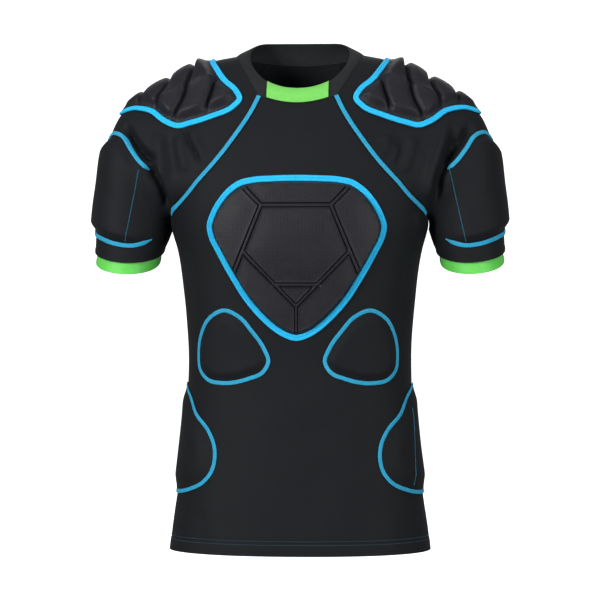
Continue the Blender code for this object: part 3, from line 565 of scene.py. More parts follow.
def seam_points(rows, facing):
    """Raglan seam points on the torso at sleeve rows, continued by the underarm seam."""
    seams = through(np.arange(len(RAGLAN_SEAMS)), RAGLAN_SEAMS, rows)
    angle, height = (seams[:, 0], seams[:, 1]) if facing < 0 else (180.0 - seams[:, 2], seams[:, 3])
    raglan = torso(np.stack((np.radians(angle), height), axis=1))
    under = through(UNDERARM_SEAM[:, 0], UNDERARM_SEAM[:, 1:], rows)
    tube = np.stack((under[:, 0], np.zeros(len(rows)), under[:, 1]), axis=1)
    return np.where((rows < ARMPIT_ROW)[:, None], raglan, tube)


def sleeve_half(rows, part, facing):
    """Half a sleeve section from its seam to the ridge of the shoulder."""
    ridge = through(np.arange(len(SLEEVE_RIDGE)), SLEEVE_RIDGE, rows)
    form = through(np.arange(len(SLEEVE_FORM)), SLEEVE_FORM, rows)
    seam = seam_points(rows, facing)
    top = ridge[:, :3]
    column = 0 if facing < 0 else 2
    outward = top - seam
    outward[:, 1] = 0.0
    drawn = seam + unit(outward) * np.maximum(form[:, column], 0.0)[:, None]
    drawn[:, 1] = form[:, column + 1]
    level = top.copy()
    level[:, 1] += facing * form[:, 4]
    controls = (seam, drawn, level, top)
    points = bezier(controls, part[:, None])
    points[:, 2] += np.where(rows > ARMPIT_ROW, ridge[:, 3], 0.0) * points[:, 1]
    return points


def sleeve(params):
    """Sleeve points at (row, part of the way over from the front seam to the back seam)."""
    rows = params[:, 0]
    over = params[:, 1]
    front = sleeve_half(rows, np.clip(2.0 * over, 0.0, 1.0), -1)
    back = sleeve_half(rows, np.clip(2.0 - 2.0 * over, 0.0, 1.0), 1)
    return np.where((over <= 0.5)[:, None], front, back)


def sleeve_at(line):
    """Sleeve row and part over of points on its front half, given as front-view x and z."""
    rows = np.linspace(0.0, SLEEVE_HEM_ROW, SEARCH_STEPS[0])
    params = on_grid(rows, np.linspace(0.0, 0.5, SEARCH_STEPS[1])).reshape(-1, 2)
    points = sleeve(params)
    found = []
    for x, z in line:
        miss = (points[:, 0] - x) ** 2 + (points[:, 2] - z) ** 2
        found.append(params[np.argmin(miss)])
    return np.array(found)


class Surface:
    """A cloth surface with its finite steps, its flat scale and the side (1 or -1) it is shown on."""

    def __init__(self, points, steps, scale, side):
        self.points = points
        self.steps = steps
        self.scale = np.array(scale)
        self.side = np.array((side, 1.0, 1.0))

    def frame(self, params):
        """Points, outward normals and the two slopes at parameters."""
        first = np.array((self.steps[0], 0.0))
        second = np.array((0.0, self.steps[1]))
        along = (self.points(params + first) - self.points(params - first)) / (2.0 * self.steps[0])
        across = (self.points(params + second) - self.points(params - second)) / (2.0 * self.steps[1])
        return self.points(params), unit(np.cross(along, across)), along, across

    def raised(self, params, heights):
        """Points at heights above the surface with its folds."""
        points, normals, _, _ = self.frame(params)
        return points + normals * (heights + cloth_folds(points * self.side))[:, None]

    def moved(self, params, shifts):
        """Parameters moved along the surface by a shift in millimetres."""
        _, _, along, across = self.frame(params)
        first = np.sum(along * along, axis=1)
        mixed = np.sum(along * across, axis=1)
        second = np.sum(across * across, axis=1)
        right = np.sum(along * shifts, axis=1)
        left = np.sum(across * shifts, axis=1)
        area = first * second - mixed * mixed
        change = np.stack((second * right - mixed * left, first * left - mixed * right), axis=1)
        return params + change / area[:, None]

    def sideways(self, params, closed):
        """Unit vectors in the surface at right angles to a line on it."""
        points, normals, _, _ = self.frame(params)
        if closed:
            direction = np.roll(points, -1, axis=0) - np.roll(points, 1, axis=0)
        else:
            direction = np.gradient(points, axis=0)
        return unit(np.cross(normals, unit(direction)))

    def inset(self, params, distance):
        """A closed line moved inwards along the surface."""
        side = self.sideways(params, True)
        centre = np.mean(self.points(params), axis=0)
        if np.sum(side * (centre - self.points(params))) < 0.0:
            side = -side
        return self.moved(params, side * distance)


def closed_curve(points, count):
    """Evenly spaced points on a smooth closed curve through a few points."""
    points = np.asarray(points, dtype=float)
    wrapped = np.concatenate((points[-3:], points, points[:4]))
    knots = lengths_along(wrapped)
    knots = knots - knots[3]
    length = knots[3 + len(points)]
    fine = through(knots, wrapped, np.linspace(0.0, length, CURVE_POINTS, endpoint=False))
    fine = np.concatenate((fine, fine[:1]))
    distance = lengths_along(fine)
    return interpolated(np.linspace(0.0, distance[-1], count, endpoint=False), distance, fine)


def open_curve(points, count):
    """Evenly spaced points on a smooth line through a few points."""
    points = np.asarray(points, dtype=float)
    knots = lengths_along(points)
    return through(knots, points, np.linspace(0.0, knots[-1], count))


def nearest_on_line(points, line):
    """Distance of points from a line of straight pieces, and how far along it the nearest place is."""
    nearest = np.full(len(points), FAR)
    place = np.zeros(len(points))
    for index, (start, end) in enumerate(zip(line[:-1], line[1:])):
        along = end - start
        share = np.clip(((points - start) @ along) / max(along @ along, TINY), 0.0, 1.0)
        miss = np.linalg.norm(points - start - share[:, None] * along, axis=1)
        place = np.where(miss < nearest, index + share, place)
        nearest = np.minimum(miss, nearest)
    return nearest, place / (len(line) - 1)


def lines_distance(points, lines):
    """Distance of points from the nearest of several lines."""
    return np.min([nearest_on_line(points, line)[0] for line in lines], axis=0)


def edge_distance(flat, outline):
    """Distance of flat points from a closed outline."""
    return lines_distance(flat, [np.concatenate((outline, outline[:1]))])


def on_scale(surface, params, shape, count):
    """A smooth line through parameters, spaced by length on the surface."""
    return shape(params * surface.scale, count) / surface.scale


def mirrored(points):
    """Points on the other side of the garment."""
    return points * np.array((-1.0, 1.0, 1.0))


def crease_share(points, line, width):
    """Part of a fold's depth at each point, fading sideways and towards both ends."""
    nearest, place = nearest_on_line(points, line)
    fade = ease(np.minimum(place, 1.0 - place) / FOLD_ENDS)
    return fade * np.exp(-(nearest / width) ** 2)


def slack_waves(points):
    """Soft uneven swell of cloth that is not quite tight, about one at its highest."""
    swell = np.zeros(len(points))
    for strength, *waves in SLACK_WAVES:
        first, second = [np.sin(points @ np.array(rates) + phase) for rates, phase in waves]
        swell += strength * first * second
    return swell


def fold_lines():
    """Every fold as points in space with its width and depth."""
    found = []
    for side, width, depth, line in SLEEVE_FOLDS:
        points = sleeve(sleeve_at(open_curve(line, FOLD_POINTS)))
        found.append((points if side == "left" else mirrored(points), width, depth))
        behind = points * np.array((1.0, -1.0, 1.0))
        behind = behind if side == "right" else mirrored(behind)
        found.append((behind, BACK_FOLD_WIDTH * width, BACK_FOLD_DEPTH * depth))
    for facing, width, depth, line in TORSO_FOLDS:
        params = torso_at(open_curve(line, FOLD_POINTS))
        if facing == "back":
            params[:, 0] = math.pi - params[:, 0]
        found.append((torso(params), width, depth))
    return found


def cloth_folds(points):
    """How far the cloth stands out at points because of its folds and slack."""
    height = SLACK * slack_waves(points)
    for line, width, depth in FOLD_LINES:
        height = height + depth * crease_share(points, line, width)
    return height


def grid_faces(rows, columns, start=0, closed=False, looped=False):
    """Quads of a grid from start on; closed joins its last column to the first, looped its last row."""
    faces = []
    for row in range(rows if looped else rows - 1):
        here = start + row * columns
        above = start + (row + 1) % rows * columns
        for column in range(columns if closed else columns - 1):
            after = (column + 1) % columns
            faces.append((here + column, here + after, above + after, above + column))
    return faces


def grid_borders(rows, columns, closed):
    """Loops of indices round the edges of a grid, in order: two for a closed one, or else one."""
    last = (rows - 1) * columns
    top = list(range(columns))
    bottom = list(range(last + columns - 1, last - 1, -1))
    if closed:
        return [top, bottom]
    right = [row * columns + columns - 1 for row in range(1, rows - 1)]
    left = [row * columns for row in range(rows - 2, 0, -1)]
    return [top + right + bottom + left]


def wall_between(outer, inner, closed=False):
    """Closed solid between two grids of the same size, which are tubes if closed."""
    rows, columns = outer.shape[:2]
    count = rows * columns
    faces = grid_faces(rows, columns, 0, closed)
    faces.extend(face[::-1] for face in grid_faces(rows, columns, count, closed))
    for border in grid_borders(rows, columns, closed):
        for index, after in zip(border, border[1:] + border[:1]):
            faces.append((after, index, index + count, after + count))
    return np.concatenate((outer.reshape(-1, 3), inner.reshape(-1, 3))), faces


def edge_step(edge, beside):
    """Half a seam gap from an edge towards the points beside it, at right angles to the edge."""
    along = unit(np.gradient(edge, axis=0))
    step = beside - edge
    step = step - along * np.sum(along * step, axis=1)[:, None]
    return 0.5 * SEAM_GAP * unit(step)


def pull_in(points, neck_row, after_neck):
    """Move the side edges and the neck edge of a grid inwards by half the seam gap."""
    moved = points.copy()
    moved[:, 0] += edge_step(points[:, 0], points[:, 1])
    moved[:, -1] += edge_step(points[:, -1], points[:, -2])
    moved[neck_row] += edge_step(points[neck_row], points[after_neck])
    return moved


def neck_edge(panel, first_row, second_row):
    """Outer and inner edge of a panel at the neck, with the way up out of it."""
    outer, inner = panel[:2]
    rise = unit(outer[first_row] - outer[second_row])
    return np.stack((outer[first_row], inner[first_row], rise), axis=1)


def collar_base(front, back, sleeve_walls, side):
    """Half ring of panel edges from centre front to centre back, on the left side (1) or the right (-1)."""
    middle = PANEL_COLUMNS // 2
    front_edge = neck_edge(front, -1, -2)[::int(side)][middle:]
    sleeve_edge = neck_edge(sleeve_walls, 0, 1) * np.array((side, 1.0, 1.0))
    back_edge = neck_edge(back, -1, -2)[::-int(side)][:middle + 1]
    return np.concatenate((front_edge[:-1], sleeve_edge, back_edge[1:]))


def collar_shape(front, back, sleeve_walls, side):
    """Outer and inner grids of half the collar, from centre front to centre back."""
    base = collar_base(front, back, sleeve_walls, side)
    outer_base = base[:, 0] + base[:, 2] * SEAM_GAP
    inner_base = base[:, 1] + base[:, 2] * SEAM_GAP
    lengths = lengths_along(outer_base)
    rim_steps = lengths_along(COLLAR_RIM)
    rim = through(rim_steps, COLLAR_RIM, lengths / lengths[-1] * rim_steps[-1])
    rim = rim * np.array((side, 1.0, 1.0))
    inward = unit(inner_base - outer_base)
    rim_inner = rim + inward * CLOTH
    outer_rows = []
    inner_rows = []
    for part in COLLAR_PARTS:
        bulge = inward * COLLAR_BULGE * math.sin(math.pi * part)
        outer = outer_base + (rim - outer_base) * part - bulge
        inner = inner_base + (rim_inner - inner_base) * part - bulge
        half = 0.5 * (outer - inner) * rounded_rim(part)
        outer_rows.append(0.5 * (outer + inner) + half)
        inner_rows.append(0.5 * (outer + inner) - half)
    return np.array(outer_rows), np.array(inner_rows)


def inside_outline(points, outline):
    """Which flat points lie inside a closed outline."""
    inside = np.zeros(len(points), dtype=bool)
    before = outline[-1]
    for after in outline:
        crosses = (after[1] > points[:, 1]) != (before[1] > points[:, 1])
        drop = before[1] - after[1]
        drop = drop if abs(drop) > TINY else TINY
        place = (before[0] - after[0]) * (points[:, 1] - after[1]) / drop + after[0]
        inside ^= crosses & (points[:, 0] < place)
        before = after
    return inside


def beside_lines(lines, offsets, spacing, outline):
    """Runs of points along lines, and at set distances beside them, inside an outline."""
    runs = []
    for line in lines:
        even = open_curve(line, int(lengths_along(line)[-1] / spacing) + 2)
        along = unit(np.gradient(even, axis=0))
        side = np.stack((-along[:, 1], along[:, 0]), axis=1)
        for offset in offsets:
            run = even + side * offset
            clear = edge_distance(run, outline) > RUN_EDGE_CLEAR * spacing
            runs.append(run[inside_outline(run, outline) & clear])
    return runs


def flat_mesh(outline, spacing, quilting=()):
    """Triangles inside a flat outline: evenly spread points, and runs of points beside quilting lines."""
    low = np.min(outline, axis=0)
    high = np.max(outline, axis=0)
    across = np.arange(low[0], high[0], spacing)
    along = np.arange(low[1], high[1], spacing * ROW_SHARE)
    first, second = np.meshgrid(across, along)
    first = first + 0.5 * spacing * (np.arange(len(along)) % 2)[:, None]
    spread = np.stack((first.ravel(), second.ravel()), axis=1)
    spread = spread[inside_outline(spread, outline)]
    spread = spread[edge_distance(spread, outline) > EDGE_CLEAR * spacing]
    runs = []
    for lines, offsets, clear in quilting:
        away = lines_distance(spread, lines)
        near = [np.abs(away - abs(offset)) < RUN_CLEAR * spacing for offset in offsets]
        spread = spread[~np.any(near, axis=0) & (away > clear)]
        runs.extend(beside_lines(lines, offsets, spacing, outline))
    coords = [Vector(point) for point in np.concatenate((outline, spread))]
    edges = [(place, (place + 1) % len(outline)) for place in range(len(outline))]
    for run in runs:
        first = len(coords)
        coords.extend(Vector(point) for point in run)
        edges.extend((first + place, first + place + 1) for place in range(len(run) - 1))
    found = delaunay_2d_cdt(coords, edges, [list(range(len(outline)))], 1, MERGE_DISTANCE)
    points = np.array([tuple(point) for point in found[0]])
    border = [0] * len(outline)
    for place, sources in enumerate(found[3]):
        for source in sources:
            if source < len(outline):
                border[source] = place
    return points, [tuple(face) for face in found[2]], border


def strip_solid(profile, closed):
    """Solid swept through rows of profile points, with two ends unless it is closed."""
    corners, count = profile.shape[:2]
    faces = grid_faces(corners, count, 0, closed, True)
    if not closed:
        faces.append(tuple(corner * count for corner in range(corners - 1, -1, -1)))
        faces.append(tuple(corner * count + count - 1 for corner in range(corners)))
    return profile.reshape(-1, 3), faces


def chest_outline():
    """Middle line of the chest edging as angle and height, all the way round."""
    half = np.array(CHEST_LINE)
    other = half[-2:0:-1] * np.array((-1.0, 1.0))
    params = torso_at(np.concatenate((half, other)))
    line = on_scale(TORSO_SURFACE, params, closed_curve, CHEST_POINTS)
    return TORSO_SURFACE.inset(line, 0.5 * CHEST_EDGING)


def straight_groove(ends):
    """A straight groove on the chest as angle and height."""
    start = np.array(ends[:2])
    end = np.array(ends[2:])
    parts = np.linspace(0.0, 1.0, max(2, int(np.linalg.norm(end - start) / GROOVE_STEP) + 1))
    return torso_at(start + (end - start) * parts[:, None])


def twin_line(params, column, total):
    """The twin of a line beyond the side seam or the ridge of the shoulder, run backwards."""
    twin = params[::-1].copy()
    twin[:, column] = total - twin[:, column]
    return twin


def behind_ridge(params):
    """The twin of a front sleeve line on the back half."""
    return twin_line(params, 1, 1.0)


def chest_grooves():
    """All grooves of the chest pad."""
    lines = [straight_groove(ends) for ends in CHEST_MIDDLE_GROOVES]
    for x_start, z_start, x_end, z_end in CHEST_SIDE_GROOVES:
        lines.append(straight_groove((x_start, z_start, x_end, z_end)))
        lines.append(straight_groove((-x_start, z_start, -x_end, z_end)))
    return lines


def hip_outline():
    """Middle line of the hip tape, from the front round the side seam to the back."""
    front = torso_at(HIP_LINE)
    top = np.array(((0.5 * math.pi, HIP_TOP),))
    bottom = np.array(((0.5 * math.pi, HIP_BOTTOM),))
    params = np.concatenate((top, front, bottom, twin_line(front, 0, math.pi)))
    return on_scale(TORSO_SURFACE, params, closed_curve, HIP_POINTS)


def shoulder_outline():
    """Middle line of the shoulder edging, front and back."""
    front = sleeve_at(SHOULDER_LINE)
    neck = np.array(((SHOULDER_NECK_ROW, 0.5),))
    arm = np.array(((SHOULDER_ARM_ROW, 0.5),))
    params = np.concatenate((neck, front, arm, behind_ridge(front)))
    return on_scale(SLEEVES["left"], params, closed_curve, SHOULDER_POINTS)


def shoulder_grooves():
    """Quilting lines of the shoulder pad, front and back: the pressed ones and the soft ones."""
    pressed = []
    soft = []
    for number, groove in enumerate(SHOULDER_GROOVES):
        front = sleeve_at(groove)
        behind = behind_ridge(front)
        if number == SHOULDER_SOFT_GROOVE:
            soft.extend((front, behind))
        elif number in SHOULDER_CROSSING_GROOVES:
            row = np.interp(groove[0][0], SLEEVE_RIDGE[:, 0], np.arange(len(SLEEVE_RIDGE)))
            pressed.append(np.concatenate((behind[:-1], ((row, 0.5),), front[1:])))
        else:
            pressed.extend((front, behind))
    return pressed, soft


def arm_line(line, row, count):
    """An arm tape from the front, over the outside of the arm, to the back."""
    front = sleeve_at(line)
    params = np.concatenate((front, ((row, 0.5),), behind_ridge(front)))
    return on_scale(SLEEVES["left"], params, open_curve, count)


def arm_lines(count):
    """Top and bottom tapes of the arm pad, both from front to back."""
    top = arm_line(ARM_TOP_LINE[::-1], ARM_TOP_ROW, count)
    bottom = arm_line(ARM_BOTTOM_LINE, ARM_BOTTOM_ROW, count)
    return top, bottom


def arm_pad_outline():
    """Outline of the arm pad between its two tapes."""
    surface = SLEEVES["left"]
    edges = []
    for line, way in zip(arm_lines(ARM_LINE_POINTS), (-1.0, 1.0)):
        side = surface.sideways(line, False)
        side *= way * np.sign(side[:, 2:])
        edges.append(surface.moved(line, side * (0.5 * ARM_TAPE + EDGE_GAP)))
    upper, lower = edges
    parts = np.linspace(0.0, 1.0, ARM_END_POINTS + 2)[1:-1, None]
    back = upper[-1] + (lower[-1] - upper[-1]) * parts
    front = lower[0] + (upper[0] - lower[0]) * parts
    return np.concatenate((upper, back, lower[::-1], front))


def raglan_seam(rows, facing):
    """Trunk parameters along the left raglan seam on the front or the back."""
    seam = seam_points(np.linspace(*rows, RAGLAN_TAPE_POINTS), facing)
    return np.stack((np.arctan2(seam[:, 0], -seam[:, 1]), seam[:, 2]), axis=1)


def raglan_line():
    """Middle of the tape on the front panel right beside the left raglan seam."""
    line = raglan_seam(RAGLAN_TAPE_ROWS, -1)
    side = TORSO_SURFACE.sideways(line, False)
    side *= -np.sign(side[:, :1])
    return TORSO_SURFACE.moved(line, side * (0.5 * RAGLAN_TAPE + EDGE_GAP))


def panel_rows(facing):
    """Heights at the side edge and angle reach of a front or back panel, from the hem to the neck."""
    lower = np.arange(HEM_HEIGHT, ARMPIT_HEIGHT, LOWER_STEP)
    steps = np.linspace(ARMPIT_ROW, 0.0, RAGLAN_STEPS + 1)
    seam = seam_points(steps, facing)
    heights = np.concatenate((lower, seam[:, 2]))
    reach = np.concatenate((np.full(len(lower), 0.5 * math.pi), np.arctan2(seam[:, 0], np.abs(seam[:, 1]))))
    neck_share = np.concatenate((np.zeros(len(lower)), 1.0 - steps / ARMPIT_ROW))
    return heights, reach, neck_share


def torso_panel_params(facing):
    """Angles and heights of the front or back panel, rows from the hem to the neck."""
    share = np.linspace(-1.0, 1.0, PANEL_COLUMNS + 1)
    dip = FRONT_NECK_DIP if facing < 0 else BACK_NECK_DIP
    heights, reach, neck_share = panel_rows(facing)
    angle = share[None, :] * reach[:, None]
    height = heights[:, None] - dip * neck_share[:, None] ** 2 * (1.0 - share[None, :] ** 2)
    if facing > 0:
        angle = math.pi - angle
    return np.stack((angle, height), axis=2)


def sleeve_params():
    """Rows and parts over of a sleeve, from the neck to the cuff."""
    raglan = np.linspace(0.0, ARMPIT_ROW, RAGLAN_STEPS + 1)
    tube = np.linspace(ARMPIT_ROW, SLEEVE_HEM_ROW, TUBE_STEPS + 1)[1:]
    return on_grid(np.concatenate((raglan, tube)), np.linspace(0.0, 1.0, SLEEVE_COLUMNS + 1))


def hem_shape(params, surface):
    """Extra height of the cloth near a lower edge: a doubled hem held in by its stitches."""
    if surface is TORSO_SURFACE:
        up = params[..., 1] - HEM_HEIGHT
        lines = [height - HEM_HEIGHT for height in HEM_STITCH_HEIGHTS]
    else:
        up = (SLEEVE_HEM_ROW - params[..., 0]) * surface.scale[0]
        lines = [SLEEVE_HEM]
    doubled = HEM_RISE * (1.0 - ease((up - lines[0]) / HEM_RAMP))
    for line in lines:
        doubled = doubled - HEM_DENT * np.exp(-((up - line) / HEM_DENT_WIDTH) ** 2)
    return doubled


def folded_grid(surface, params):
    """Grids of cloth points, with their folds and hem, and outward normals."""
    points, normals, _, _ = surface.frame(params.reshape(-1, 2))
    shape = params.shape[:2] + (3,)
    folds = cloth_folds(points * surface.side).reshape(params.shape[:2])
    height = folds + hem_shape(params, surface)
    normals = normals.reshape(shape)
    return points.reshape(shape) + normals * height[..., None], normals


def cloth_panel(surface, params, neck_row, after_neck):
    """Outer and inner grids of a panel, a sleeve as a left one, and the place of each point in the cut."""
    points, normals = folded_grid(surface, params)
    outer = pull_in(points, neck_row, after_neck)
    return outer, outer - normals * CLOTH, params * surface.scale


def rounded_rim(part):
    """How much of a folded edge's half thickness is left towards its fold."""
    return np.sqrt(1.0 - np.clip((part - RIM_FROM) / RIM_LENGTH, 0.0, RIM_CUT) ** 2)


def label_rows(rows):
    """Collar rows at even steps across the front, from one end of the tab to the other."""
    across = np.linspace(-LABEL_HALF_WIDTH, LABEL_HALF_WIDTH, LABEL_COLUMNS)
    found = []
    for row in rows:
        front = row[row[:, 1] < 0.0]
        front = front[np.argsort(front[:, 0])]
        found.append(interpolated(across, front[:, 0], front))
    return np.array(found)


def label_grids(outer, inner):
    """Upper and lower grids of the bare tab over the front of the collar."""
    out = unit(outer - inner)
    return label_rows(outer + out * (LIFT + LABEL_THICKNESS)), label_rows(outer + out * LIFT)


def cuff_grids(surface):
    """Outer and inner rings of an inner cuff band, standing out below the sleeve hem."""
    over = np.linspace(0.0, 1.0, CUFF_COLUMNS, endpoint=False)
    rows = np.linspace(CUFF_SECTIONS[0, 0], CUFF_SECTIONS[-1, 0], CUFF_STEPS)
    params = on_grid(rows, over).reshape(-1, 2)
    points = surface.raised(params, np.zeros(len(params))).reshape(CUFF_STEPS, CUFF_COLUMNS, 3)
    away = points - np.mean(points, axis=1, keepdims=True)
    away[:, :, 2] = 0.0
    away = unit(away)
    outer = points - away * np.interp(rows, CUFF_SECTIONS[:, 0], CUFF_SECTIONS[:, 1])[:, None, None]
    pinch = rounded_rim(np.linspace(0.0, 1.0, CUFF_STEPS))[:, None, None]
    middle = outer - away * 0.5 * CUFF_WALL
    return middle + away * 0.5 * CUFF_WALL * pinch, middle - away * 0.5 * CUFF_WALL * pinch


def pad_mesh(surface, outline, spacing, heights, quilting, lift):
    """Pad on a surface: fine top raised by a height function, rounded edge and plain underside."""
    flat = outline * surface.scale
    top, top_faces, top_border = flat_mesh(flat, spacing, quilting)
    low, low_faces, low_border = flat_mesh(flat, UNDERSIDE_SPACING)
    upper = surface.raised(top / surface.scale, lift + heights(top, flat))
    under = surface.raised(low / surface.scale, np.full(len(low), lift))
    count = len(upper)
    faces = list(top_faces)
    faces.extend(tuple(count + index for index in face[::-1]) for face in low_faces)
    for place in range(len(flat)):
        after = (place + 1) % len(flat)
        faces.append((top_border[place], count + low_border[place],
                      count + low_border[after], top_border[after]))
    return np.concatenate((upper, under)), faces, np.concatenate((top, low))


def chest_quilting():
    """Channel lines of the chest pad, with the distances beside them where their shape turns."""
    wall = CHANNEL_HALF_WIDTH + CHANNEL_WALL
    steps = (CHANNEL_HALF_WIDTH * CHANNEL_BEAD_TURN, CHANNEL_HALF_WIDTH, wall)
    offsets = [-step for step in steps] + [0.0] + list(steps)
    return [([line * TORSO_SURFACE.scale for line in chest_grooves()], offsets, wall)]


def chest_heights(flat, outline):
    """Chest pad: a level top with double-line channels pressed into it, each with a bead along its floor."""
    edge = edge_distance(flat, outline)
    rise = ease(edge / CHEST_RAMP)
    away = lines_distance(flat, chest_quilting()[0][0])
    wall = CHANNEL_HALF_WIDTH + CHANNEL_WALL
    channel = 1.0 - ease((away - CHANNEL_HALF_WIDTH) / CHANNEL_WALL)
    bead = CHANNEL_BEAD * np.maximum(1.0 - (away / CHANNEL_HALF_WIDTH) ** CHANNEL_BEAD_POWER, 0.0)
    lip = np.exp(-((away - wall) / CHANNEL_LIP_WIDTH) ** 2)
    lip = CHANNEL_LIP * (lip + np.exp(-((edge - CHEST_RAMP) / CHEST_LIP_WIDTH) ** 2))
    top = CHEST_HEIGHT - CHEST_SWELL + CHEST_SWELL * ease((away - wall) / CHEST_SWELL_REACH)
    tall = CHEST_EDGE + (top - CHEST_EDGE) * rise
    return tall - rise * (CHANNEL_DEPTH * channel - bead - lip)


def shoulder_quilting():
    """Pressed lines and soft ridges of the shoulder pad, with the distances beside them that need points."""
    pressed, soft = [[open_curve(line * SLEEVE_SCALE, QUILT_POINTS) for line in lines]
                     for lines in shoulder_grooves()]
    steps = np.array(QUILT_STEPS) * QUILT_LINE_WIDTH
    return [(pressed, steps, QUILT_CLEAR * QUILT_LINE_WIDTH), (soft, (0.0,), 0.0)]


def shoulder_heights(flat, outline):
    """Shoulder pad: swelling cells between deep quilting lines, each folded along a soft ridge."""
    rise = ease(edge_distance(flat, outline) / SHOULDER_RAMP)
    pressed, soft = shoulder_quilting()
    away = lines_distance(flat, pressed[0])
    ridge_away = lines_distance(flat, soft[0])
    dent = QUILT_LINE_DEPTH * np.exp(-(away / QUILT_LINE_WIDTH) ** 2)
    dent = dent + QUILT_DIP_DEPTH * np.exp(-away / QUILT_DIP_WIDTH)
    dent = dent * (QUILT_EDGE_SHARE + (1.0 - QUILT_EDGE_SHARE) * rise)
    ridge = QUILT_RIDGE * np.exp(-ridge_away / QUILT_RIDGE_WIDTH) * rise
    row = flat[:, 0] / SLEEVE_SCALE[0]
    armward = (row - SHOULDER_THIN_FROM) / (SHOULDER_ARM_ROW - SHOULDER_THIN_FROM)
    thin = 1.0 - SHOULDER_THIN_SHARE * ease(armward)
    tall = SHOULDER_EDGE + (SHOULDER_HEIGHT * thin - SHOULDER_EDGE) * rise
    return np.maximum(tall - dent * thin + ridge * thin, SHOULDER_LEAST)


def plain_heights(height, ramp):
    """Height function of a plain pad with a softly crowned top."""
    def heights(flat, outline):
        away = edge_distance(flat, outline)
        return PLAIN_PAD_EDGE + (height - PLAIN_PAD_EDGE) * ease(away / ramp) ** PAD_CROWN
    return heights


def arm_heights(flat, outline):
    """Arm pad: full between its two tapes, thinning out towards its two open ends."""
    behind = outline[ARM_LINE_POINTS - 1:ARM_LINE_POINTS + ARM_END_POINTS + 1]
    before = np.concatenate((outline[2 * ARM_LINE_POINTS + ARM_END_POINTS:], outline[:1]))
    ends = ease(lines_distance(flat, [behind, before]) / ARM_END_RAMP)
    rise = ease(edge_distance(flat, outline) / ARM_PAD_RAMP) ** PAD_CROWN
    return ARM_PAD_EDGE + (ARM_HEIGHT + PAD_LIFT - ARM_PAD_LIFT - ARM_PAD_EDGE) * rise * ends


def rib_profile(ribs):
    """Places across a tape from one edge to the other, with their heights, for a number of ribs."""
    across = np.linspace(0.5, -0.5, TAPE_RIB_STEPS * ribs + 1)
    round_top = np.abs(np.sin(math.pi * ribs * (across + 0.5))) ** TAPE_RIB_POWER
    return across, TAPE_RIB_FLOOR + (1.0 - TAPE_RIB_FLOOR) * round_top


def tape_share(points, taper):
    """Share of a tape's full section at each of its points, less towards its ends."""
    along = lengths_along(points)
    ends = ease(np.minimum(along, along[-1] - along) / taper)
    return TAPE_END_SHARE + (1.0 - TAPE_END_SHARE) * ends


def tape_mesh(surface, line, closed, sizes, ribs):
    """Strip of tape along a line on a surface, rounded across in one or more ribs."""
    width, thickness, lift, taper = sizes
    side = surface.sideways(line, closed)
    part = tape_share(surface.points(line), taper) if taper else np.ones(len(line))
    across, share = rib_profile(ribs)
    across = np.concatenate(((-0.5, 0.5), across))
    share = np.concatenate(((0.0, 0.0), share))
    rows = []
    for place, height in zip(across, share):
        moved = surface.moved(line, side * (place * width * part)[:, None])
        rows.append(surface.raised(moved, lift + height * thickness * part))
    profile = np.array(rows)
    along = lengths_along(profile[2])
    flat = np.stack(np.broadcast_arrays(along[None, :], width * across[:, None]), axis=2).reshape(-1, 2)
    points, faces = strip_solid(profile, closed)
    return points, faces, flat


def stitch_mesh(surface, line, lift):
    """Row of separate stitches along a line on a surface, at a height for each of its points."""
    normals = surface.frame(line)[1]
    points = surface.raised(line, lift)
    lengths = lengths_along(points)
    found = []
    faces = []
    for index in range(int(lengths[-1] / STITCH_PITCH)):
        places = (index + STITCH_SHARE * np.array(STITCH_PLACES)) * STITCH_PITCH
        spine = interpolated(places, lengths, points)
        out = unit(interpolated(places, lengths, normals))
        across = unit(np.cross(out, spine[3] - spine[0])) * STITCH_HALF_WIDTH
        up = out * STITCH_HEIGHT
        ring = [spine[k] + step[k] for k in (1, 2) for step in (across, up, -across, -up)]
        first = len(found)
        found.extend([spine[0], spine[3]] + ring)
        for corner in range(4):
            near = first + 2 + corner
            beside = first + 2 + (corner + 1) % 4
            faces.append((first, beside, near))
            faces.append((near, beside, beside + 4, near + 4))
            faces.append((first + 1, near + 4, beside + 4))
    return np.array(found), faces


def linear(colour):
    """Linear colour of a screen colour given from 0 to 255."""
    parts = np.array(colour) / 255.0
    straight = np.where(parts <= 0.04045, parts / 12.92, ((parts + 0.055) / 1.055) ** 2.4)
    return (*straight.tolist(), 1.0)


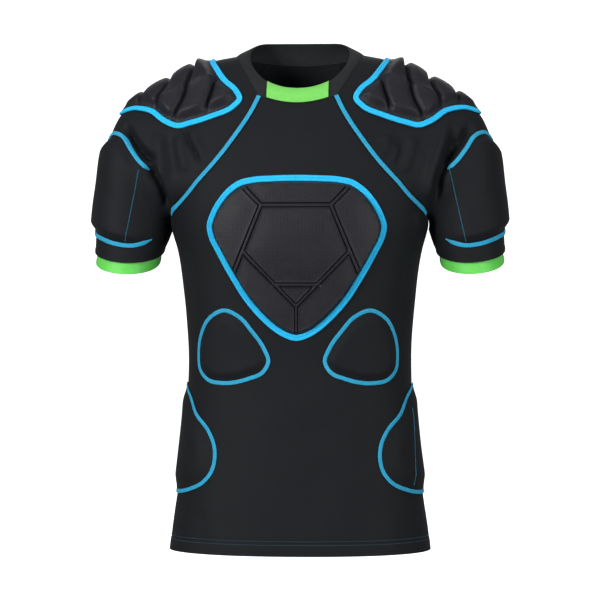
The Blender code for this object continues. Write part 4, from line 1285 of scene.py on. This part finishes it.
class Finish:
    """A cloth material in the making: its nodes, links and shader."""

    def __init__(self, name, roughness, sheen, specular):
        self.material = bpy.data.materials.new(name)
        self.material.use_nodes = True
        self.nodes = self.material.node_tree.nodes
        self.links = self.material.node_tree.links
        self.shader = self.nodes["Principled BSDF"]
        self.shader.inputs["Roughness"].default_value = roughness
        self.shader.inputs["Sheen Weight"].default_value = sheen
        self.shader.inputs["Sheen Roughness"].default_value = SHEEN_ROUGHNESS
        self.shader.inputs["Specular IOR Level"].default_value = specular

    def math(self, operation, first, second=None):
        """Output of a math node on sockets or numbers."""
        node = self.nodes.new("ShaderNodeMath")
        node.operation = operation
        for place, value in enumerate((first, second)):
            if value is None:
                continue
            if isinstance(value, float):
                node.inputs[place].default_value = value
            else:
                self.links.new(value, node.inputs[place])
        return node.outputs[0]

    def place(self):
        """The two places of a point in the flat cut, in metres."""
        coordinates = self.nodes.new("ShaderNodeTexCoord")
        split = self.nodes.new("ShaderNodeSeparateXYZ")
        self.links.new(coordinates.outputs["UV"], split.inputs[0])
        return split.outputs[0], split.outputs[1]

    def waves(self, value, pitch):
        """A sine of a place with a pitch in millimetres."""
        return self.math("SINE", self.math("MULTIPLY", value, 2.0 * math.pi / (pitch * METRES)))

    def mottle(self, scale, detail):
        """Soft noise through the piece, from nought to one."""
        coordinates = self.nodes.new("ShaderNodeTexCoord")
        noise = self.nodes.new("ShaderNodeTexNoise")
        noise.inputs["Scale"].default_value = scale
        noise.inputs["Detail"].default_value = detail
        self.links.new(coordinates.outputs["Object"], noise.inputs["Vector"])
        return noise.outputs[0]

    def colours(self, factor, dark, light):
        """Base colour between two colours by a factor."""
        mix = self.nodes.new("ShaderNodeMix")
        mix.data_type = "RGBA"
        mix.inputs["A"].default_value = dark
        mix.inputs["B"].default_value = light
        for socket in mix.inputs:
            if socket.name == "Factor" and socket.type == "VALUE":
                self.links.new(factor, socket)
                break
        colour = [out for out in mix.outputs if out.type == "RGBA"][0]
        self.links.new(colour, self.shader.inputs["Base Color"])

    def roughened(self, factor, low, high):
        """Roughness between two values by a factor."""
        spread = self.math("MULTIPLY", factor, high - low)
        self.links.new(self.math("ADD", spread, low), self.shader.inputs["Roughness"])

    def bump(self, height, depth, strength):
        """Bump of a height from nought to one, with its depth in millimetres."""
        node = self.nodes.new("ShaderNodeBump")
        node.inputs["Strength"].default_value = strength
        node.inputs["Distance"].default_value = depth * METRES
        self.links.new(height, node.inputs["Height"])
        self.links.new(node.outputs[0], self.shader.inputs["Normal"])

    def share(self, value):
        """A sine from minus one to one brought to nought to one."""
        return self.math("MULTIPLY", self.math("ADD", value, 1.0), 0.5)

    def dressed(self, height, dark, light, roughness, mottling):
        """Colour and roughness from a thread height and a soft mottle, which it gives back as one factor."""
        scale, detail, strength, spread = mottling
        mottle = self.mottle(scale, detail)
        factor = self.math("MULTIPLY", self.math("ADD", height, mottle), strength)
        self.colours(factor, dark, light)
        self.roughened(mottle, roughness - spread, roughness + spread)
        return factor


def knit(name, dark, light, roughness, sheen, gloss):
    """Fine stretch knit: columns of small slanted loops, with a soft mottle."""
    finish = Finish(name, roughness, sheen, gloss)
    across, along = finish.place()
    column = finish.math("ABSOLUTE", finish.waves(across, 2.0 * KNIT_WALE))
    slant = finish.math("ADD", along, finish.math("MULTIPLY", column, 0.5 * KNIT_COURSE * METRES))
    loop = finish.share(finish.waves(slant, KNIT_COURSE))
    height = finish.math("MULTIPLY", finish.math("SQRT", column), loop)
    factor = finish.dressed(height, dark, light, roughness, KNIT_MOTTLE)
    finish.bump(factor, *KNIT_BUMP)
    return finish.material


def woven(name, dark, light, roughness, sheen, gloss):
    """Plain-woven pad cover with a heavier thread every few threads."""
    finish = Finish(name, roughness, sheen, gloss)
    across, along = finish.place()
    threads = finish.math("MULTIPLY", finish.waves(across, WEAVE_PITCH), finish.waves(along, WEAVE_PITCH))
    cords = [finish.math("POWER", finish.share(finish.waves(way, CORD_PITCH)), CORD_SHARPNESS)
             for way in (across, along)]
    height = finish.math("ADD", finish.math("MULTIPLY", finish.share(threads), THREAD_SHARE),
                         finish.math("MULTIPLY", finish.math("MAXIMUM", *cords), CORD_SHARE))
    finish.dressed(height, dark, light, roughness, WEAVE_MOTTLE)
    finish.bump(height, *WEAVE_BUMP)
    return finish.material


def stitched_tape(name, dark, light, pitch, slope):
    """Seam tape covered in slanting stitches."""
    finish = Finish(name, TAPE_ROUGHNESS, TAPE_SHEEN, TAPE_GLOSS)
    along, across = finish.place()
    slant = finish.math("ADD", along, finish.math("MULTIPLY", across, slope))
    threads = finish.share(finish.waves(slant, pitch))
    finish.dressed(threads, dark, light, TAPE_ROUGHNESS, TAPE_MOTTLE)
    finish.bump(threads, *KNIT_BUMP)
    return finish.material


def make_materials():
    """Every cloth material by its slot."""
    found = {}
    for make, table in ((knit, KNITS), (woven, WEAVES), (stitched_tape, TAPES)):
        for slot, (dark, light, *values) in table.items():
            found[slot] = make(slot, linear(dark), linear(light), *values)
    return found


def add_piece(name, points, faces, slot, flat=None):
    """One mesh piece that rides on the part, with its material and, if given, its places in the flat cut."""
    mesh = bpy.data.meshes.new(name)
    mesh.from_pydata([Vector(point) * METRES for point in points], [], faces)
    shape = bmesh.new()
    shape.from_mesh(mesh)
    bmesh.ops.recalc_face_normals(shape, faces=shape.faces)
    shape.to_mesh(mesh)
    shape.free()
    mesh.shade_smooth()
    mesh.set_sharp_from_angle(angle=SHARP_ANGLE)
    if flat is not None:
        corners = np.zeros(len(mesh.loops), dtype=np.int32)
        mesh.loops.foreach_get("vertex_index", corners)
        layer = mesh.uv_layers.new(name="cut")
        layer.data.foreach_set("uv", (flat[corners] * METRES).astype(np.float32).ravel())
    mesh.materials.append(MATERIALS[slot])
    piece = bpy.data.objects.new(name, mesh)
    bpy.context.scene.collection.objects.link(piece)
    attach(piece, "root")
    return piece


def add_for(node, points, faces, slot, flat=None):
    """A piece that stands for the node of the same name."""
    piece = add_piece(node + "_look", points, faces, slot, flat)
    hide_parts(node)
    return piece


def twice(flat):
    """Flat places for both faces of a wall."""
    flat = flat.reshape(-1, 2)
    return np.concatenate((flat, flat))


def ring_flat(outer):
    """Flat places of a ring of rows: length round it and height up it."""
    steps = np.linalg.norm(np.diff(outer, axis=1), axis=2)
    around = np.concatenate((np.zeros((len(outer), 1)), np.cumsum(steps, axis=1)), axis=1)
    rises = np.linalg.norm(np.diff(outer, axis=0), axis=2)
    up = np.concatenate((np.zeros((1, outer.shape[1])), np.cumsum(rises, axis=0)))
    return np.stack((around, up), axis=2)


def add_collar(front, back, sleeves):
    """Collar ring and the bare tab on its front."""
    left_outer, left_inner = collar_shape(front, back, sleeves["left"], 1.0)
    right_outer, right_inner = collar_shape(front, back, sleeves["right"], -1.0)
    outer = np.concatenate((left_outer, right_outer[:, -2:0:-1]), axis=1)
    inner = np.concatenate((left_inner, right_inner[:, -2:0:-1]), axis=1)
    collar = add_for("collar", *wall_between(outer, inner, True), "collar_knit", twice(ring_flat(outer)))
    high, low = label_grids(outer, inner)
    tab = add_for("collar_label", *wall_between(high, low), "green_tab", twice(ring_flat(high)))
    return collar, tab


def add_cloth():
    """Front, back, sleeves, collar with its tab, and cuffs."""
    front, back = [cloth_panel(TORSO_SURFACE, torso_panel_params(facing), -1, -2) for facing in (-1, 1)]
    sleeves = {side: cloth_panel(surface, sleeve_params(), 0, 1) for side, surface in SLEEVES.items()}
    pieces = {}
    for name, panel in (("front", front), ("back", back)):
        pieces[name] = add_for(name, *wall_between(*panel[:2]), "black_knit", twice(panel[2]))
    for side, surface in SLEEVES.items():
        outer, inner, flat = sleeves[side]
        points, faces = wall_between(outer, inner)
        name = "sleeve_" + side
        pieces[name] = add_for(name, points * surface.side, faces, "black_knit", twice(flat))
        cuff_outer, cuff_inner = cuff_grids(surface)
        points, faces = wall_between(cuff_outer, cuff_inner, True)
        name = "cuff_" + side
        pieces[name] = add_for(name, points * surface.side, faces, "green_cuff", twice(ring_flat(cuff_outer)))
    pieces["collar"], pieces["collar_label"] = add_collar(front, back, sleeves)
    return pieces


def add_pad(node, surface, outline, spacing, heights, slot, quilting=(), lift=PAD_LIFT):
    """A pad that stands for its node."""
    points, faces, flat = pad_mesh(surface, outline, spacing, heights, quilting, lift)
    piece = add_for(node, points * surface.side, faces, slot, flat)
    return piece


def add_tape(node, surface, line, closed, sizes, ribs, slot):
    """A tape or edging that stands for its node."""
    points, faces, flat = tape_mesh(surface, line, closed, sizes, ribs)
    return add_for(node, points * surface.side, faces, slot, flat)


def add_stitches(name, surface, line, lift, slot):
    """A row of stitches."""
    points, faces = stitch_mesh(surface, line, lift)
    return add_piece(name, points * surface.side, faces, slot)


def add_chest():
    """Chest pad and its edging."""
    line = chest_outline()
    outline = TORSO_SURFACE.inset(line, 0.5 * CHEST_EDGING + EDGE_GAP)
    add_pad("chest_pad", TORSO_SURFACE, outline, CHEST_SPACING, chest_heights, "pad_cover", chest_quilting())
    sizes = (CHEST_EDGING, EDGING_THICKNESS, LIFT, 0.0)
    return [add_tape("chest_edging", TORSO_SURFACE, line, True, sizes, 2, "bright_blue_edging")]


def add_ribs_and_hips():
    """Rib and hip pads on both sides with the tapes round them."""
    rib = on_scale(TORSO_SURFACE, torso_at(RIB_LINE), closed_curve, RIB_POINTS)
    rows = (
        ("rib", rib, RIB_TAPE, RIB_HEIGHT, RIB_RAMP),
        ("hip", hip_outline(), HIP_TAPE, HIP_HEIGHT, HIP_RAMP),
    )
    tapes = []
    for name, line, width, height, ramp in rows:
        sizes = (width, TAPE_THICKNESS, LIFT, 0.0)
        for side, turn in SIDES:
            turned = line * np.array((turn, 1.0))
            outline = TORSO_SURFACE.inset(turned, 0.5 * width + EDGE_GAP)
            add_pad(f"{name}_pad_{side}", TORSO_SURFACE, outline, PLAIN_PAD_SPACING,
                    plain_heights(height, ramp), "black_knit")
            node = f"{name}_tape_{side}"
            tapes.append(add_tape(node, TORSO_SURFACE, turned, True, sizes, 1, "blue_seam_tape"))
    return tapes


def add_shoulder(side, surface):
    """Shoulder pad of one side with its edging."""
    line = shoulder_outline()
    outline = surface.inset(line, 0.5 * SHOULDER_EDGING + EDGE_GAP)
    add_pad("shoulder_pad_" + side, surface, outline, SHOULDER_SPACING, shoulder_heights, "pad_cover",
            shoulder_quilting())
    sizes = (SHOULDER_EDGING, EDGING_THICKNESS, LIFT, 0.0)
    return [add_tape("shoulder_edging_" + side, surface, line, True, sizes, 2, "bright_blue_edging")]


def straight_on_arm(surface, ends, outline):
    """Parameters and heights of a line on the arm pad that is straight as seen from the front."""
    target = open_curve(ends, STITCH_LINE_POINTS)
    line = sleeve_at(target)
    for _ in range(ARM_STITCH_ROUNDS):
        lift = ARM_PAD_LIFT + arm_heights(line * SLEEVE_SCALE, outline * SLEEVE_SCALE)
        miss = target - surface.raised(line, lift)[:, (0, 2)]
        _, _, along, across = surface.frame(line)
        area = along[:, 0] * across[:, 2] - along[:, 2] * across[:, 0]
        row = (miss[:, 0] * across[:, 2] - miss[:, 1] * across[:, 0]) / area
        over = (along[:, 0] * miss[:, 1] - along[:, 2] * miss[:, 0]) / area
        line = line + np.stack((row, over), axis=1)
    return line, lift


def add_arm(side, surface):
    """Arm pad of one side with its tapes and its row of stitches."""
    outline = arm_pad_outline()
    add_pad("arm_pad_" + side, surface, outline, PLAIN_PAD_SPACING, arm_heights, "black_knit",
            lift=ARM_PAD_LIFT)
    rows = zip(("top", "bottom"), arm_lines(ARM_TAPE_POINTS), (ARM_TOP_TAPER, ARM_BOTTOM_TAPER))
    found = []
    for end, line, taper in rows:
        sizes = (ARM_TAPE, TAPE_THICKNESS, LIFT, taper)
        found.append(add_tape(f"arm_{end}_tape_{side}", surface, line, False, sizes, 1, "blue_seam_tape"))
    line, lift = straight_on_arm(surface, ARM_STITCHES[side], outline)
    found.append(add_stitches("arm_stitches_" + side, surface, line, lift, "blue_seam_tape"))
    return found


def add_raglan_tape(side, turn):
    """Tape beside one front raglan seam."""
    line = raglan_line() * np.array((turn, 1.0))
    sizes = (RAGLAN_TAPE, TAPE_THICKNESS, PAD_LIFT, 0.0)
    return add_tape("raglan_tape_" + side, TORSO_SURFACE, line, False, sizes, 1, "blue_seam_tape")


def add_hem_stitches():
    """Twin rows of stitches along the hem of the front and the back."""
    reach = np.linspace(-HEM_STITCH_REACH, HEM_STITCH_REACH, HEM_STITCH_POINTS)
    lift = np.full(HEM_STITCH_POINTS, HEM_STITCH_LIFT)
    found = []
    for name, middle in (("front", 0.0), ("back", math.pi)):
        angle = middle + reach * math.pi
        for number, height in enumerate(HEM_STITCH_HEIGHTS):
            line = np.stack((angle, np.full_like(angle, height)), axis=1)
            title = f"hem_stitches_{name}_{number + 1}"
            found.append(add_stitches(title, TORSO_SURFACE, line, lift, "hem_thread"))
    return found


def add_seam_strips():
    """Strips of cloth inside the side seams and the raglan seams."""
    low, high = SEAM_STRIP_CLEAR
    heights = np.linspace(HEM_HEIGHT + low, ARMPIT_HEIGHT - high, SEAM_STRIP_POINTS)
    lines = (
        ("side", np.stack((np.full_like(heights, 0.5 * math.pi), heights), axis=1)),
        ("front_raglan", raglan_seam(SEAM_STRIP_ROWS, -1)),
        ("back_raglan", raglan_seam(SEAM_STRIP_ROWS, 1)),
    )
    lift = -(CLOTH + SEAM_STRIP_GAP + SEAM_STRIP_THICKNESS)
    sizes = (SEAM_STRIP_WIDTH, SEAM_STRIP_THICKNESS, lift, 0.0)
    found = []
    for name, line in lines:
        for side, turn in SIDES:
            turned = line * np.array((turn, 1.0))
            points, faces, flat = tape_mesh(TORSO_SURFACE, turned, False, sizes, 1)
            found.append(add_piece(f"{name}_seam_{side}", points, faces, "black_knit", flat))
    return found


def add_hip_stitches():
    """Row of stitches down the left hip pad."""
    line = open_curve(torso_at(open_curve(HIP_STITCH, HIP_STITCH_POINTS)), STITCH_LINE_POINTS)
    outline = TORSO_SURFACE.inset(hip_outline(), 0.5 * HIP_TAPE + EDGE_GAP)
    heights = plain_heights(HIP_HEIGHT, HIP_RAMP)
    lift = PAD_LIFT + heights(line * TORSO_SURFACE.scale, outline * TORSO_SURFACE.scale)
    return add_stitches("hip_stitches_left", TORSO_SURFACE, line, lift, "blue_seam_tape")


def add_room():
    """Plain pale floor that bends up into a round wall, and throws no light of its own on the cloth."""
    bend = np.linspace(0.0, 0.5 * math.pi, ROOM_BEND_STEPS)
    wall = ROOM_RADIUS - ROOM_BEND + ROOM_BEND * np.sin(bend)
    radius = np.concatenate((ROOM_RINGS, wall, (ROOM_RADIUS,)))
    rise = ROOM_BEND * (1.0 - np.cos(bend))
    height = np.concatenate((np.zeros(len(ROOM_RINGS)), rise, (ROOM_HEIGHT,)))
    turn = np.linspace(0.0, 2.0 * math.pi, ROOM_SIDES, endpoint=False)
    points = [(r * math.cos(t), r * math.sin(t), FLOOR_HEIGHT + h)
              for r, h in zip(radius, height) for t in turn]
    faces = grid_faces(len(radius), ROOM_SIDES, 0, True)
    faces.append(tuple(range(ROOM_SIDES - 1, -1, -1)))
    mesh = bpy.data.meshes.new("pale_room")
    mesh.from_pydata(points, [], faces)
    mesh.shade_smooth()
    material = bpy.data.materials.new("pale_room")
    material.use_nodes = True
    shader = material.node_tree.nodes["Principled BSDF"]
    shader.inputs["Base Color"].default_value = ROOM_COLOUR
    shader.inputs["Roughness"].default_value = ROOM_ROUGHNESS
    shader.inputs["Emission Color"].default_value = WHITE
    shader.inputs["Emission Strength"].default_value = ROOM_GLOW
    mesh.materials.append(material)
    room = bpy.data.objects.new("pale_room", mesh)
    room.visible_diffuse = False
    room.visible_glossy = False
    bpy.context.scene.collection.objects.link(room)


def aimed(item, place, target):
    """Put a light or camera at a place, looking at a target."""
    item.location = place
    item.rotation_euler = (Vector(target) - Vector(place)).to_track_quat("-Z", "Y").to_euler()
    bpy.context.scene.collection.objects.link(item)


def add_lights():
    """Large soft lights and an even bright surround."""
    for name, place, size, watts in LIGHTS:
        data = bpy.data.lights.new(name, "AREA")
        data.shape = "DISK"
        data.size = size
        data.energy = watts
        aimed(bpy.data.objects.new(name, data), place, CAMERA_TARGET)
    world = bpy.data.worlds.new("bright_surround")
    world.use_nodes = True
    background = world.node_tree.nodes["Background"]
    background.inputs["Color"].default_value = WHITE
    background.inputs["Strength"].default_value = WORLD_STRENGTH
    bpy.context.scene.world = world


def add_camera():
    """Camera at the photograph's viewing angle."""
    data = bpy.data.cameras.new("camera")
    data.sensor_width = SENSOR_WIDTH
    data.lens = SENSOR_WIDTH * CAMERA_DISTANCE / FIELD_WIDTH
    camera = bpy.data.objects.new("camera", data)
    aside = CAMERA_DISTANCE * math.sin(CAMERA_TURN)
    before = -CAMERA_DISTANCE * math.cos(CAMERA_TURN)
    aimed(camera, (aside, before, CAMERA_TARGET[2]), CAMERA_TARGET)
    bpy.context.scene.camera = camera
    bpy.context.scene.view_settings.view_transform = "Standard"


def add_garment():
    """Every piece of the garment, with its trims gathered by the cloth piece they sit on."""
    pieces = add_cloth()
    trims = {"front": add_chest() + add_ribs_and_hips(), "back": []}
    for side, turn in SIDES:
        surface = SLEEVES[side]
        trims["sleeve_" + side] = add_shoulder(side, surface) + add_arm(side, surface)
        trims["front"].append(add_raglan_tape(side, turn))
    trims["front"].append(add_hip_stitches())
    trims["back"].extend(add_seam_strips())
    for stitches in add_hem_stitches():
        trims["front" if "front" in stitches.name else "back"].append(stitches)


TORSO_SURFACE = Surface(torso, TORSO_STEPS, TORSO_SCALE, 1.0)
SLEEVES = {side: Surface(sleeve, SLEEVE_STEPS, SLEEVE_SCALE, turn) for side, turn in SIDES}
FOLD_LINES = fold_lines()
MATERIALS = make_materials()

add_camera()
add_lights()
add_room()
add_garment()
